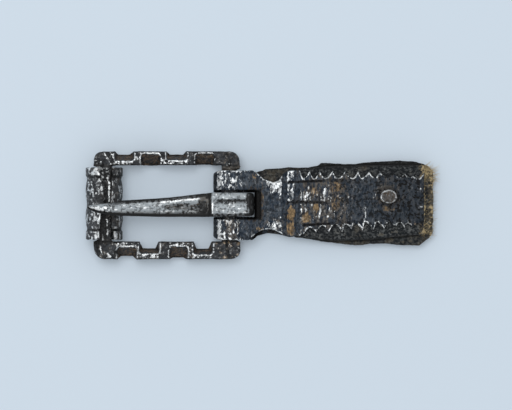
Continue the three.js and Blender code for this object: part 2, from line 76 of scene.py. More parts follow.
class Mark(Enum):
    """Marks that a mesh carries at each vertex, from 0 to 1, which its finish reads. The first holds worn
    metal and painted highlights; the shade mark holds painted shade.
    """

    # Bright metal: worn places, and painted highlights and sheen.
    WEAR = "wear"
    GRIME = "grime"
    RUST = "rust"
    SHADE = "shade"
    WARM = "warm"


def smooth(low: float | Array, high: float | Array, x: Array) -> Array:
    """Steps from 0 to 1 between two values: 3 t squared less 2 t cubed, t being the share of the way.

    Args:
        low: Where the step starts.
        high: Where the step ends, which may be below its start.
        x: The values to step.

    Returns:
        The steps, as many as the values.
    """
    t = np.clip((x - low) / (high - low), 0, 1)
    return t * t * (3 - 2 * t)


def bump_at(x: Array, centre: float | Array, half_width: float | Array) -> Array:
    """A smooth hill of height 1 at a centre, 0 past its half width."""
    return smooth(1, 0, np.abs(x - centre) / half_width)


def shares_at(table: Table, along: Array, column: int = 1) -> Array:
    """Reads a table of shares: straight lines between its rows, by the share in its first column."""
    rows = np.array(table)
    return np.interp(along, rows[:, 0], rows[:, column])


def drop_at(from_edge: Array, radius: float | Array) -> Array:
    """How far a rounded edge lies below its face: a quarter circle's radius less its height there."""
    return radius - np.sqrt(np.maximum(radius**2 - np.clip(radius - from_edge, 0, None) ** 2, 0))


def on_axis(values: Array, axis: int, height: float = 0) -> Array:
    """Points on a line along X or Y, at a height, which noise is read at where it varies one way only.

    Args:
        values: Places along the line.
        axis: 0 for X, 1 for Y.
        height: The line's height.

    Returns:
        The points, three columns.
    """
    points = np.zeros((values.size, 3))
    points[:, axis] = values.ravel()
    points[:, 2] = height
    return points


def spread(count: int, ends: float) -> Array:
    """Shares from 0 to 1 that lie closer at both ends.

    Each is its even share t less ends times sin(2 pi t) / (2 pi).

    Args:
        count: How many shares.
        ends: From 0, even, to 1, as close at the ends as it goes.

    Returns:
        The shares.
    """
    t = np.linspace(0, 1, count)
    return t - ends * np.sin(2 * np.pi * t) / (2 * np.pi)


@dataclass(frozen=True)
class Grain:
    """Seeded noise: random numbers on a cubic lattice, blended smoothly between its corners.

    Attributes:
        seed: Picks the random numbers and where the lattice starts.
        cells: Cells of the lattice along each side, after which it repeats.
    """

    seed: int
    cells: int = 32

    def at(self, points: Array, size: float) -> Array:
        """Noise at points: each is the weighted sum of its cell's eight corners.

        Args:
            points: Places in millimetres, three columns.
            size: Side of a cell in millimetres.

        Returns:
            A value from -1 to 1 for each point.
        """
        rng = np.random.default_rng(self.seed)
        lattice = rng.uniform(-1, 1, (self.cells,) * 3)
        place = points / size + rng.uniform(0, self.cells, 3)
        low = np.floor(place).astype(int)
        t = place - low
        t = t * t * (3 - 2 * t)
        value = np.zeros(len(points))
        for corner in np.ndindex(2, 2, 2):
            weight = np.prod(np.where(np.array(corner) == 1, t, 1 - t), axis=1)
            a, b, c = ((low + corner) % self.cells).T
            value += weight * lattice[a, b, c]
        return value

    def layers(self, points: Array, size: float, count: int = 3) -> Array:
        """Noise summed over layers, each half the size and half the height of the one before."""
        total = sum(self.at(points, size / 2**layer) / 2**layer for layer in range(count))
        return total / (2 - 0.5 ** (count - 1))


@dataclass
class Skin:
    """A closed mesh in the making, in layout millimetres.

    Attributes:
        points: Vertices, three columns.
        faces: Corners of each face, four columns, with the third doubled as the fourth on a triangle.
        marks: Values at each vertex.
        over: Which vertices belong to the upper or outer surface.
        flat: Vertices before they were dented.
    """

    points: Array
    faces: Array
    marks: dict[Mark, Array] = field(default_factory=dict)
    over: Array | None = None
    flat: Array | None = None

    def volume(self) -> float:
        """Six times the volume that the faces enclose: the sum of each triangle's triple product."""
        a, b, c, d = (self.points[self.faces[:, k]] for k in range(4))
        return float((a * (np.cross(b, c) + np.cross(c, d))).sum())

    def face_out(self) -> Skin:
        """Turns all faces round if they enclose less than nothing.

        Returns:
            The skin itself.
        """
        if self.volume() < 0:
            self.faces = self.faces[:, ::-1]
        return self

    def normals(self) -> Array:
        """Sums each face's crossed diagonals at its corners.

        Returns:
            Unit normals at the vertices.
        """
        a, b, c, d = (self.points[self.faces[:, k]] for k in range(4))
        crossed = np.cross(c - a, d - b)
        corners, count, least = self.faces.ravel(), len(self.points), 1e-12
        total = np.stack([np.bincount(corners, np.repeat(part, 4), count) for part in crossed.T], axis=1)
        return total / np.maximum(np.linalg.norm(total, axis=1, keepdims=True), least)

    def dent(self, amount: Array) -> None:
        """Moves each vertex along its normal by an amount in millimetres."""
        self.flat = self.points
        self.points = self.flat + self.normals() * amount[:, None]

    def mark(self, name: Mark, value: Array | float) -> None:
        """Sets a mark, held between 0 and 1."""
        self.marks[name] = np.clip(np.broadcast_to(value, len(self.points)), 0, 1).astype(np.float32)


def shell(over: Array, under: Array, keep: Array, closed: bool = False, levels: int = 1) -> Skin:
    """Joins two like grids of points into one closed skin, with a straight wall round what is kept.

    Args:
        over: Upper or outer surface: rows, columns and three coordinates.
        under: Lower or inner surface, the same size.
        keep: Which cells exist, one less each way, or as many rows where the grid is closed.
        closed: Whether the last row joins the first.
        levels: How many strips of faces the wall has.

    Returns:
        The skin, its faces pointing out.
    """
    rows, columns = over.shape[:2]
    count = rows * columns
    index = np.arange(count).reshape(rows, columns)
    beyond = np.vstack([index, index[:1]]) if closed else index
    a, b = beyond[:-1, :-1], beyond[1:, :-1]
    c, d = beyond[1:, 1:], beyond[:-1, 1:]
    upper = np.stack([a, b, c, d], axis=-1)[keep]

    before = np.roll(keep, 1, axis=0)
    after = np.roll(keep, -1, axis=0)
    if not closed:
        before[0] = False
        after[-1] = False
    left = np.pad(keep, ((0, 0), (1, 0)))[:, :-1]
    right = np.pad(keep, ((0, 0), (0, 1)))[:, 1:]
    sides = ((a, b, left), (b, c, after), (c, d, right), (d, a, before))
    edges = np.concatenate([np.stack([p, q], axis=-1)[keep & ~beside] for p, q, beside in sides])
    rim, slots = np.unique(edges, return_inverse=True)
    slots = slots.reshape(edges.shape)
    points = [over.reshape(-1, 3), under.reshape(-1, 3)]
    stages = [edges]
    for level in range(1, levels):
        share = level / levels
        stages.append(2 * count + (level - 1) * len(rim) + slots)
        points.append((1 - share) * points[0][rim] + share * points[1][rim])
    stages.append(edges + count)
    walls = [
        np.stack([high[:, 1], high[:, 0], low[:, 0], low[:, 1]], axis=-1)
        for high, low in zip(stages[:-1], stages[1:])
    ]
    faces = np.concatenate([upper, upper[:, ::-1] + count, *walls])
    used, packed = np.unique(faces, return_inverse=True)
    on_top = np.zeros(2 * count + (levels - 1) * len(rim), bool)
    on_top[:count] = True
    return Skin(np.concatenate(points)[used], packed.reshape(faces.shape), over=on_top[used]).face_out()


def tube(rings: Array) -> Skin:
    """Joins closed rings of as many points each into one skin, each end closed towards its ring's middle.

    Args:
        rings: Rings, points of a ring and three coordinates.

    Returns:
        The skin, its faces pointing out.
    """
    count, around = rings.shape[:2]
    index = np.arange(count * around).reshape(count, around)
    turned = np.roll(index, -1, axis=1)
    sides = np.stack([index[:-1], turned[:-1], turned[1:], index[1:]], axis=-1).reshape(-1, 4)
    first, last = count * around, count * around + 1
    ends = [
        np.stack([turned[0], index[0], np.full(around, first), np.full(around, first)], axis=-1),
        np.stack([index[-1], turned[-1], np.full(around, last), np.full(around, last)], axis=-1),
    ]
    middles = np.stack([rings[0].mean(axis=0), rings[-1].mean(axis=0)])
    return Skin(np.concatenate([rings.reshape(-1, 3), middles]), np.concatenate([sides, *ends])).face_out()


def swung(points: Array) -> Array:
    """Turns flat laid points round the hinge axis up by the frame's tilt, and sets them at its height."""
    x, y, z = points.T
    return np.stack([x * TILT_COS + z * TILT_SIN, y, HINGE[2] - x * TILT_SIN + z * TILT_COS], axis=1)


def add_piece(
    name: str, body: str, nodes: list[str], skin: Skin, finish: bpy.types.Material, sharp: int = 50
) -> bpy.types.Object:
    """Makes a skin into an object in the row's frame that rides on a body and stands for CAD nodes.

    Args:
        name: Name of the piece.
        body: CAD body that it rides on.
        nodes: CAD nodes that it stands for.
        skin: Its mesh, in layout millimetres.
        finish: Its material.
        sharp: Angle in degrees between faces from which their edge is sharp.

    Returns:
        The object.
    """
    mesh = bpy.data.meshes.new(name)
    placed = (skin.points + [HINGE[0], 0, 0]) * MM
    corners = [list(dict.fromkeys(face)) for face in skin.faces.tolist()]
    mesh.from_pydata(placed, [], corners)
    for mark, value in skin.marks.items():
        mesh.attributes.new(mark.value, "FLOAT", "POINT").data.foreach_set("value", value)
    mesh.shade_smooth()
    mesh.set_sharp_from_angle(angle=math.radians(sharp))
    mesh.materials.append(finish)
    mesh.update()
    piece = bpy.data.objects.new(name, mesh)
    bpy.context.scene.collection.objects.link(piece)
    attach(piece, body)
    if nodes:
        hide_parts(*nodes)
    log.info("%s: %d vertices, %d faces, on %s", name, len(mesh.vertices), len(mesh.polygons), body)
    return piece


class Value:
    """A number's socket in a material's nodes, which sums and products can be written with."""

    def __init__(self, graph: Graph, socket: bpy.types.NodeSocket) -> None:
        """Wraps a socket of a graph."""
        self.graph = graph
        self.socket = socket

    def _math(self, operation: str, *values: Value | float, clamp: bool = False) -> Value:
        """Adds a Math node that works on numbers or sockets."""
        settings = {"operation": operation, "use_clamp": clamp}
        return self.graph.node("ShaderNodeMath", settings, dict(enumerate(values)))

    def __add__(self, other: Value | float) -> Value:
        """Sum."""
        return self._math("ADD", self, other)

    def __sub__(self, other: Value | float) -> Value:
        """Difference."""
        return self._math("SUBTRACT", self, other)

    def __rsub__(self, other: Value | float) -> Value:
        """Difference with the socket as what is taken away."""
        return self._math("SUBTRACT", other, self)

    def __mul__(self, other: Value | float) -> Value:
        """Product."""
        return self._math("MULTIPLY", self, other)

    __radd__ = __add__
    __rmul__ = __mul__

    def clamped(self) -> Value:
        """The value held between 0 and 1."""
        return self._math("ADD", self, 0.0, clamp=True)

    def step(self, low: float, high: float) -> Value:
        """A smooth step from 0 to 1 between two values."""
        settings = {"interpolation_type": "SMOOTHSTEP"}
        return self.graph.node("ShaderNodeMapRange", settings, {0: self, 1: low, 2: high, 3: 0.0, 4: 1.0})


class Graph:
    """A material and the making of its nodes."""

    def __init__(self, name: str) -> None:
        """Makes a material with its surface shader and no other nodes.

        Args:
            name: The material's name.
        """
        self.material = bpy.data.materials.new(name)
        self.material.use_nodes = True
        self.nodes = self.material.node_tree.nodes
        self.links = self.material.node_tree.links
        self.surface = self.nodes["Principled BSDF"]
        self.place = self.node("ShaderNodeTexCoord", {}, {}, "Object")

    def node(
        self, kind: str, settings: dict[str, object], inputs: dict[int | str, object], output: int | str = 0
    ) -> Value:
        """Adds a node.

        Args:
            kind: The node's type.
            settings: Its settings, which are set first.
            inputs: Values or links for its sockets, by number or name.
            output: The output to give back, by number or name.

        Returns:
            The output.
        """
        node = self.nodes.new(kind)
        for name, setting in settings.items():
            setattr(node, name, setting)
        for name, value in inputs.items():
            self.feed(node.inputs[name], value)
        return Value(self, node.outputs[output])

    def feed(self, socket: bpy.types.NodeSocket, value: object) -> None:
        """Links a socket to a value's socket, or sets it to a number or a colour.

        Args:
            socket: The socket.
            value: What it gets.
        """
        if isinstance(value, Value):
            self.links.new(value.socket, socket)
        elif isinstance(value, tuple) and socket.type == "RGBA":
            socket.default_value = (*value, 1.0)
        else:
            socket.default_value = value

    def mark(self, name: Mark) -> Value:
        """The mesh's own mark at the vertices."""
        return self.node("ShaderNodeAttribute", {"attribute_name": name.value}, {}, "Fac")

    def noise(self, size: float, detail: int = 2, rough: float = 0.55, stretch: Triple = (1, 1, 1)) -> Value:
        """Noise from 0 to 1 on the object's own coordinates.

        Args:
            size: Size of its largest spots in millimetres.
            detail: Layers of finer noise.
            rough: How strong the finer layers are.
            stretch: How many times longer the spots are along each axis.

        Returns:
            The noise.
        """
        place = self.place
        if stretch != (1, 1, 1):
            scale = tuple(1 / times for times in stretch)
            place = self.node("ShaderNodeVectorMath", {"operation": "MULTIPLY"}, {0: place, 1: scale})
        inputs = {"Vector": place, "Scale": 1 / (size * MM), "Detail": detail, "Roughness": rough}
        return self.node("ShaderNodeTexNoise", {}, inputs)

    def mix(self, share: Value | float, start: Value | Triple, end: Value | Triple) -> Value:
        """A colour between two, by a share."""
        return self.node("ShaderNodeMix", {"data_type": "RGBA"}, {0: share, 6: start, 7: end}, 2)

    def relief(self, height: Value, distance: float, strength: float = 1.0) -> Value:
        """A normal from a height from 0 to 1, whose full height in millimetres is the distance."""
        inputs = {"Height": height, "Distance": distance * MM, "Strength": strength}
        return self.node("ShaderNodeBump", {}, inputs)

    def finish(self, **sockets: object) -> bpy.types.Material:
        """Sets the surface's sockets.

        Args:
            sockets: Values or links, by the sockets' names with underscores for spaces.

        Returns:
            The material.
        """
        for name, value in sockets.items():
            self.feed(self.surface.inputs[name.replace("_", " ")], value)
        return self.material


@dataclass(frozen=True)
class Iron:
    """Forged iron: a dark patina with lighter spots, brown grime, rust, bright metal where it is worn,
    painted highlights and painted shade.

    Attributes:
        dark: Colour of the patina, and tint that of its lighter spots.
        bright: Colour of the worn metal and of the painted highlights.
        brown: Colour of the grime in cuts and hollows.
        warm: Colour of a thin film over the patina.
        grit: How dark the smallest pits are.
        specks: How readily bright specks, worn metal and painted glints, show away from the edges, speck_size
            wide in millimetres.
        mottle: Size of the patina's spots in millimetres.
        ragged: How much the noise breaks up the edge of the worn metal.
        pits: Depth of the pitting in millimetres.
        streak: How many times longer the specks are along each axis.
        metal: How metallic the patina is, as gloss is how strongly the rest reflects.
    """

    name: str
    dark: Triple = (0.022, 0.024, 0.027)
    tint: Triple = (0.110, 0.115, 0.122)
    bright: Triple = (0.78, 0.80, 0.81)
    brown: Triple = (0.064, 0.046, 0.031)
    rust: Triple = (0.460, 0.310, 0.160)
    warm: Triple = (0.125, 0.108, 0.090)
    grit: float = 0.6
    specks: float = 0.25
    speck_size: float = 0.6
    mottle: float = 1.3
    ragged: float = 0.9
    pits: float = 0.2
    streak: Triple = (1, 1, 1)
    metal: float = 0.3
    gloss: float = 0.4

    def material(self) -> bpy.types.Material:
        """Builds the material: each colour covers the one before by its mark, broken up by noise.

        Each noise is stepped round its middle first, so that it holds clear spots rather than a haze.

        Returns:
            The material.
        """
        graph = Graph(self.name)
        wear, grime = graph.mark(Mark.WEAR), graph.mark(Mark.GRIME)
        rust, shade = graph.mark(Mark.RUST), graph.mark(Mark.SHADE)
        coarse = graph.noise(3.0, detail=3).step(0.40, 0.60)
        spots = graph.noise(self.mottle, detail=4, rough=0.65, stretch=self.streak).step(0.41, 0.59)
        fine = graph.noise(self.speck_size, detail=3, rough=0.6, stretch=self.streak).step(0.40, 0.60)
        pitted = graph.noise(0.5, detail=3)
        grit = graph.noise(0.75, detail=2).step(0.50, 0.62)

        colour = graph.mix(0.25 * coarse + 0.45 * spots + 0.3 * fine, self.dark, self.tint)
        film = (graph.mark(Mark.WARM) + 0.7 * spots - 0.42).step(0.1, 0.9)
        colour = graph.mix(0.85 * film, colour, self.warm)
        dirty = (grime + 0.7 * spots - 0.35).step(0.2, 0.8)
        colour = graph.mix(dirty, colour, graph.mix(fine, self.brown, self.dark))
        rusty = (1.2 * rust + 0.45 * (spots + fine) - 0.6).step(0.25, 0.9)
        colour = graph.mix(rusty, colour, graph.mix(0.15 + 0.45 * fine + 0.4 * grit, self.brown, self.rust))
        broken = self.ragged * (0.6 * fine + 0.4 * spots - 0.5)
        # Bright metal, both where it is worn and where the mark carries a painted highlight or sheen.
        worn = (wear + broken + 0.35 * self.specks).step(0.44, 0.72)
        worn = worn * (1 - 0.8 * rusty) * (1 - 0.6 * dirty)
        colour = graph.mix(worn, colour, self.bright)
        # Painted shade from the shade mark, with the darkest pits, mixed towards black.
        colour = graph.mix((shade + self.grit * grit).clamped(), colour, SHADE_BLACK)

        metallic = (self.metal + (0.9 - self.metal) * worn - 0.3 * dirty - 0.4 * rusty).clamped()
        roughness = 0.55 - 0.17 * worn + 0.2 * dirty + 0.2 * rusty
        height = 0.4 * pitted + 0.3 * spots + 0.2 * fine - 0.4 * grit
        return graph.finish(
            Base_Color=colour, Metallic=metallic, Roughness=roughness, Specular_IOR_Level=self.gloss,
            Normal=graph.relief(height, self.pits)
        )


@dataclass(frozen=True)
class Leather:
    """Old blackened leather: dark, dry and cracked, and brown or buff where its fibres show.

    Attributes:
        name: Name of the material.
        dark: Colour of the grain side.
        tint: Lighter, greenish colour in spots.
        dust: Colour of the grime.
        inside: Colour of the torn leather between its fibres.
        fibre: Colour of the fibres that show.
    """

    name: str
    dark: Triple = (0.003, 0.005, 0.007)
    tint: Triple = (0.098, 0.104, 0.105)
    dust: Triple = (0.086, 0.070, 0.046)
    inside: Triple = (0.11, 0.085, 0.055)
    fibre: Triple = (0.42, 0.33, 0.19)

    def material(self) -> bpy.types.Material:
        """Builds the material: two darks in fine spots, covered by bare fibre where it is worn or torn.

        Returns:
            The material.
        """
        graph = Graph(self.name)
        wear, grime, shade = graph.mark(Mark.WEAR), graph.mark(Mark.GRIME), graph.mark(Mark.SHADE)
        coarse = graph.noise(2.4, detail=3).step(0.40, 0.60)
        fine = graph.noise(0.55, detail=3, rough=0.65, stretch=(1.2, 1, 1)).step(0.43, 0.59)
        cracks = graph.noise(0.8, detail=3, stretch=(3, 1, 1))
        colour = graph.mix(fine * (0.4 + 0.6 * coarse), self.dark, self.tint)
        dusty = (grime + 0.5 * coarse + 0.3 * fine - 0.4).step(0.35, 0.95)
        colour = graph.mix(0.55 * dusty, colour, self.dust)
        crumbs = graph.noise(0.9, detail=4, rough=0.6).step(0.42, 0.58)
        bare = (wear + 0.9 * crumbs - 0.45).step(0.50, 0.9)
        colour = graph.mix(bare, colour, graph.mix(crumbs, self.inside, self.fibre))
        # Painted shade from the shade mark, mixed towards black.
        colour = graph.mix(shade, colour, SHADE_BLACK)
        height = 0.5 * cracks + 0.5 * fine
        return graph.finish(
            Base_Color=colour, Roughness=0.78 + 0.12 * bare, Specular_IOR_Level=0.25,
            Normal=graph.relief(height, 0.22)
        )


@dataclass(frozen=True)
class Fibre:
    """Torn leather fibres, buff to golden, darker at their root.

    Attributes:
        name: Name of the material.
        root: Colour at the root.
        tip: Colour at the tip.
    """

    name: str
    root: Triple = (0.040, 0.031, 0.021)
    tip: Triple = (0.58, 0.45, 0.24)

    def material(self) -> bpy.types.Material:
        """Builds the material: from root to tip by the mark of wear, with spots along the strands.

        Returns:
            The material.
        """
        graph = Graph(self.name)
        share = (graph.mark(Mark.WEAR) + 0.8 * graph.noise(0.7) - 0.4).clamped()
        return graph.finish(Base_Color=graph.mix(share, self.root, self.tip), Roughness=0.8)


def straight(start: Pair, end: Pair, count: int) -> Array:
    """Points on a straight line, without its end."""
    return np.linspace(start, end, count, endpoint=False)


def quarter(start: Pair, control: Pair, end: Pair, count: int) -> Array:
    """Points on a quadratic curve, without its end: (1-t) squared, 2 t (1-t) and t squared of its points."""
    t = np.linspace(0, 1, count, endpoint=False)[:, None]
    return (1 - t) ** 2 * np.array(start) + 2 * t * (1 - t) * np.array(control) + t**2 * np.array(end)


def evenly(path: Array, count: int) -> Array:
    """Points at equal distances along a path, without its end.

    Args:
        path: The path's points.
        count: How many points to give.

    Returns:
        The points.
    """
    reach = np.concatenate([[0], np.cumsum(np.linalg.norm(np.diff(path, axis=0), axis=1))])
    places = np.linspace(0, reach[-1], count, endpoint=False)
    return np.stack([np.interp(places, reach, path[:, k]) for k in range(path.shape[1])], axis=1)


def from_lines(x: Array, y: Array, lines: Array) -> Array:
    """Distance of places in plan from the nearest of some lines.

    A place's foot on a line is its start plus the share of the way at which the two are square.

    Args:
        x: Places along the buckle.
        y: Places across it.
        lines: Rows of a line's two ends, each by X and Y.

    Returns:
        The distances, up to what stands for far.
    """
    nearest = np.full(x.shape, FAR)
    for start_x, start_y, end_x, end_y in lines:
        along = np.array([end_x - start_x, end_y - start_y])
        share = np.clip(((x - start_x) * along[0] + (y - start_y) * along[1]) / (along @ along), 0, 1)
        away = np.hypot(x - start_x - share * along[0], y - start_y - share * along[1])
        nearest = np.minimum(nearest, away)
    return nearest


@dataclass
class Sizes:
    """Sizes in millimetres that more than one piece follows."""

    gap: float = 0.3
    sheet: float = 1.1
    leather: float = 1.6
    bar_radius: float = 2.2
    plate_half_width: float = 9.75
    front_leaf: float = 54.4
    back_leaf: float = 53.0
    slot_length: float = 8.7
    tongue_offset: float = 0.16
    slot_half_width: float = 4.08
    slot_taper: Pair = (1.5, 0.72)
    back_slot_length: float = 6.86
    back_slot_half_width: float = 3.43
    back_slot_lip: float = 7.4
    rivet_reach: float = 44.5
    rivet_offset: float = 2.4
    rivet_hole: float = 1.5

    @property
    def bore(self) -> float:
        """Radius inside the fold."""
        return self.bar_radius + self.gap

    def clear_of_rivet(self, x: Array, y: Array) -> Array:
        """Which cells of a grid keep clear of the rivet's hole, by the middle between two corners."""
        along, across = ((grid[:-1, :-1] + grid[1:, 1:]) / 2 for grid in (x, y))
        return np.hypot(along - self.rivet_reach, across - self.rivet_offset) > self.rivet_hole


@dataclass
class Notch:
    """A notch filed into a long bar of the frame, as a wedge that slopes down to the bar's back.

    Attributes:
        bar: 1 for the upper bar, -1 for the lower.
        edge: 1 for the outer edge, -1 for the window's.
        start_share: Where it starts along the frame's length, as end_share is where it ends.
        face_share: Its share of the bar's width on the face, as back_share is at the back.
    """

    bar: int
    edge: int
    start_share: float
    end_share: float
    face_share: float
    back_share: float


@dataclass
class Frame:
    """The forged loop with its filed notches, a square outer bar and a round hinge bar.

    Attributes:
        top: Half its width.
        least: Height that is left at a notch's deepest place.
        roller_top: Where the roller's bed ends above, as roller_foot is where it ends below.
        corners: How far each corner's curve runs along and across, from the upper left round by the foot.
        flute_shares: Both ends of each corner flute, as shares of the length and of half the width.
    """

    sizes: Sizes
    grain: Grain = Grain(11)
    end: float = 2.98
    heel: float = 2.94
    thickness: float = 4.6
    upper_bar: float = 3.9
    lower_bar: float = 4.95
    outer_bar: float = 4.1
    top: float = 15.1
    window_round: float = 0.8
    heel_round: float = 0.25
    shoulder_gap: float = 0.45
    edge_round: float = 0.55
    notch_round: float = 0.9
    wall_slope: float = 7.0
    least: float = 0.4
    flute_depth: float = 0.45
    roller_top: float = 10.9
    roller_foot: float = -10.0
    seam_side: float = 2.3
    corners: tuple[Pair, ...] = ((2.8, 3.4), (3.4, 4.4), (3.1, 2.7), (3.1, 4.4))
    notches: tuple[Notch, ...] = (
        Notch(1, 1, 0.14, 0.276, 0.71, 0.24),
        Notch(1, -1, 0.322, 0.454, 0.81, 0),
        Notch(1, 1, 0.495, 0.638, 0.65, 0.24),
        Notch(1, -1, 0.693, 0.822, 0.84, 0.05),
        Notch(-1, 1, 0.16, 0.294, 0.69, 0.18),
        Notch(-1, -1, 0.309, 0.449, 0.68, 0.4),
        Notch(-1, 1, 0.515, 0.642, 0.73, 0.09),
        Notch(-1, -1, 0.678, 0.813, 0.73, 0.42),
    )
    flute_shares: tuple[Line, ...] = (
        (-0.02, 0.8, 0.06, 0.74), (0.08, 1.04, 0.13, 0.8), (0.02, -0.6, 0.04, -0.98),
        (0.19, -0.72, 0.12, -1.04), (0.9, 1.04, 0.93, 0.72), (0.91, -0.66, 0.92, -1.04),
    )
    rows: int = 36
    bar_points: int = 290
    side_points: int = 130
    corner_points: int = 52

    @property
    def left(self) -> float:
        """Where the frame starts, at the roller's end."""
        return -ROLLER_REACH - self.end

    @property
    def length(self) -> float:
        """The frame's whole length."""
        return self.end + ROLLER_REACH + self.heel

    @property
    def high(self) -> float:
        """The window's upper edge."""
        return self.top - self.upper_bar

    @property
    def low(self) -> float:
        """The window's lower edge."""
        return self.lower_bar - self.top

    @property
    def flutes(self) -> Array:
        """Both ends of each corner flute in plan."""
        return np.array(self.flute_shares) * ([self.length, self.top] * 2) + [self.left, 0, self.left, 0]

    def corner(self, start: Pair, bend: Pair, point: Pair, leave: Pair, end: Pair) -> Array:
        """An outer corner: a straight, a quadratic curve towards a point and a straight, in even steps."""
        path = [straight(start, bend, 9), quarter(bend, point, leave, 24), straight(leave, end, 9), [end]]
        return evenly(np.concatenate(path), self.corner_points)

    def outlines(self) -> tuple[Array, Array]:
        """Both edges of the ring in plan, with as many points each, clockwise from the upper bar.

        Returns:
            The outer edge and the window's edge.
        """
        near, far = -ROLLER_REACH + self.outer_bar / 2, -self.sizes.bar_radius
        left, right, top, foot = self.left, self.heel, self.top, -self.top
        high, low, r, h = self.high, self.low, self.window_round, self.heel_round
        corner = self.corner
        (ltx, lty), (lfx, lfy), (rfx, rfy), (rtx, rty) = self.corners
        bar, side, turn = self.bar_points, self.side_points, self.corner_points
        outer = [
            straight((near + r, top), (far - h, top), bar),
            corner((far - h, top), (right - rtx, top), (right, top), (right, top - rty), (right, high - h)),
            straight((right, high - h), (right, low + h), side),
            corner(
                (right, low + h), (right, foot + rfy), (right, foot), (right - rfx, foot), (far - h, foot)
            ),
            straight((far - h, foot), (near + r, foot), bar),
            corner((near + r, foot), (left + lfx, foot), (left, foot), (left, foot + lfy), (left, low + r)),
            straight((left, low + r), (left, high - r), side),
            corner((left, high - r), (left, top - lty), (left, top), (left + ltx, top), (near + r, top)),
        ]
        window = [
            straight((near + r, high), (far - h, high), bar),
            quarter((far - h, high), (far, high), (far, high - h), turn),
            straight((far, high - h), (far, low + h), side),
            quarter((far, low + h), (far, low), (far - h, low), turn),
            straight((far - h, low), (near + r, low), bar),
            quarter((near + r, low), (near, low), (near, low + r), turn),
            straight((near, low + r), (near, high - r), side),
            quarter((near, high - r), (near, high), (near + r, high), turn),
        ]
        return np.concatenate(outer), np.concatenate(window)

    def place(self, notch: Notch) -> Triple:
        """A notch's middle and half its length along the frame, and its bar's width."""
        start, end = (self.left + self.length * share for share in (notch.start_share, notch.end_share))
        return (start + end) / 2, (end - start) / 2, self.upper_bar if notch.bar > 0 else self.lower_bar

    def wedge(self, notch: Notch, x: Array, y: Array) -> tuple[Array, Array, Array]:
        """A notch's heights over places in plan: a rectangle with round corners, open at its bar's edge.

        Its floor is the plane from the face's line down to the back's, and its ends are steep walls.

        Args:
            notch: The notch.
            x: Places along the bar.
            y: Places across it.

        Returns:
            The height, the distance from the notch's outline (below 0 inside) and the depth from the edge.
        """
        centre, half, width = self.place(notch)
        from_outside = self.top - notch.bar * y
        depth = from_outside if notch.edge > 0 else width - from_outside
        r = self.notch_round
        across = np.abs(x - centre) - (half - r)
        inwards = depth - (notch.face_share * width - r)
        outside = np.hypot(np.maximum(across, 0), np.maximum(inwards, 0))
        distance = outside + np.minimum(np.maximum(across, inwards), 0) - r
        fall = self.thickness / ((notch.face_share - notch.back_share) * width)
        floor = (depth - notch.back_share * width) * fall - self.thickness / 2
        wall = self.thickness / 2 + self.wall_slope * distance
        there = (notch.bar * y > 0) & (depth > -1) & (depth < width + 0.5)
        height = np.where(there, np.maximum(floor, wall), self.thickness)
        return height, np.where(there, distance, FAR), depth

    def cut_back(self, x: Array, y: Array, edge: int) -> Array:
        """How far the notches cut into the outline at the bar's back, rounded at their ends.

        Args:
            x: Places along the bars.
            y: Places across them.
            edge: 1 for the outer edge, -1 for the window's.

        Returns:
            The depths.
        """
        depth = np.zeros(len(x))
        for notch in self.notches:
            centre, half, width = self.place(notch)
            inside = half - np.abs(x - centre)
            there = (notch.bar * y > 0) & (notch.edge == edge)
            depth += notch.back_share * width * smooth(0.1, 1.2, inside) * there
        return depth

    def skin(self) -> Skin:
        """The ring: heights over rows between its two edges, rounded along them, with notches and flutes.

        Behind the plate the hinge bar is round, and the roller's bed is as wide as the outer bar.

        Returns:
            The skin.
        """
        outer, window = self.outlines()
        x, y = outer.T
        shoulder = np.where(x > 0, self.sizes.plate_half_width + self.shoulder_gap, self.high)
        within = smooth(self.low - 0.1, self.low + 0.2, y) * smooth(shoulder + 0.1, shoulder - 0.2, y)
        x = x - within * np.maximum(x - self.sizes.bar_radius, 0)
        bed = smooth(self.roller_foot - 0.15, self.roller_foot + 0.15, y)
        bed *= smooth(self.roller_top + 0.15, self.roller_top - 0.15, y)
        x = x + bed * np.maximum(-ROLLER_REACH - self.outer_bar / 2 - x, 0)
        outer = np.stack([x, y], axis=1)

        across = window - outer
        across = across / np.linalg.norm(across, axis=1, keepdims=True)
        outer = outer + across * self.cut_back(*outer.T, 1)[:, None]
        window = window - across * self.cut_back(*window.T, -1)[:, None]
        between = window - outer
        share = spread(self.rows, 0.7)
        px, py = np.moveaxis(outer[:, None] + share[None, :, None] * between[:, None], 2, 0)
        from_edge = np.minimum(share, 1 - share)[None] * np.linalg.norm(between, axis=1)[:, None]

        hinge = (within * (x > 0))[:, None]
        half = self.thickness / 2 + hinge * (self.sizes.bar_radius - self.thickness / 2)
        base = half - drop_at(from_edge, self.edge_round + hinge * (self.sizes.bar_radius - self.edge_round))
        height = base
        for notch in self.notches:
            height = np.minimum(height, self.wedge(notch, px, py)[0])
        height = height - self.flute_depth * smooth(0.75, 0, from_lines(px, py, self.flutes))
        height = np.maximum(height, self.least - self.thickness / 2)
        over, under = (np.stack([px, py, z], axis=-1) for z in (height, -base))
        skin = shell(over, under, np.ones((len(px), self.rows - 1), bool), closed=True, levels=4)

        points = skin.points
        by_end = smooth(self.left + 6.5, self.left + 5.0, points[:, 0])
        by_hinge = smooth(-1.5, -0.5, points[:, 0])
        corner = (np.abs(points[:, 1]) > self.high - 1) * np.maximum(by_end, by_hinge)
        facets = np.minimum(self.grain.layers(points, 2.2), 0.1) * corner
        fine = 0.07 * self.grain.layers(points, 0.9, 2)
        skin.dent(0.13 * self.grain.layers(points, 3.0) + fine + 0.3 * facets - 0.02)
        self.dress(skin)
        skin.points = swung(skin.points)
        return skin

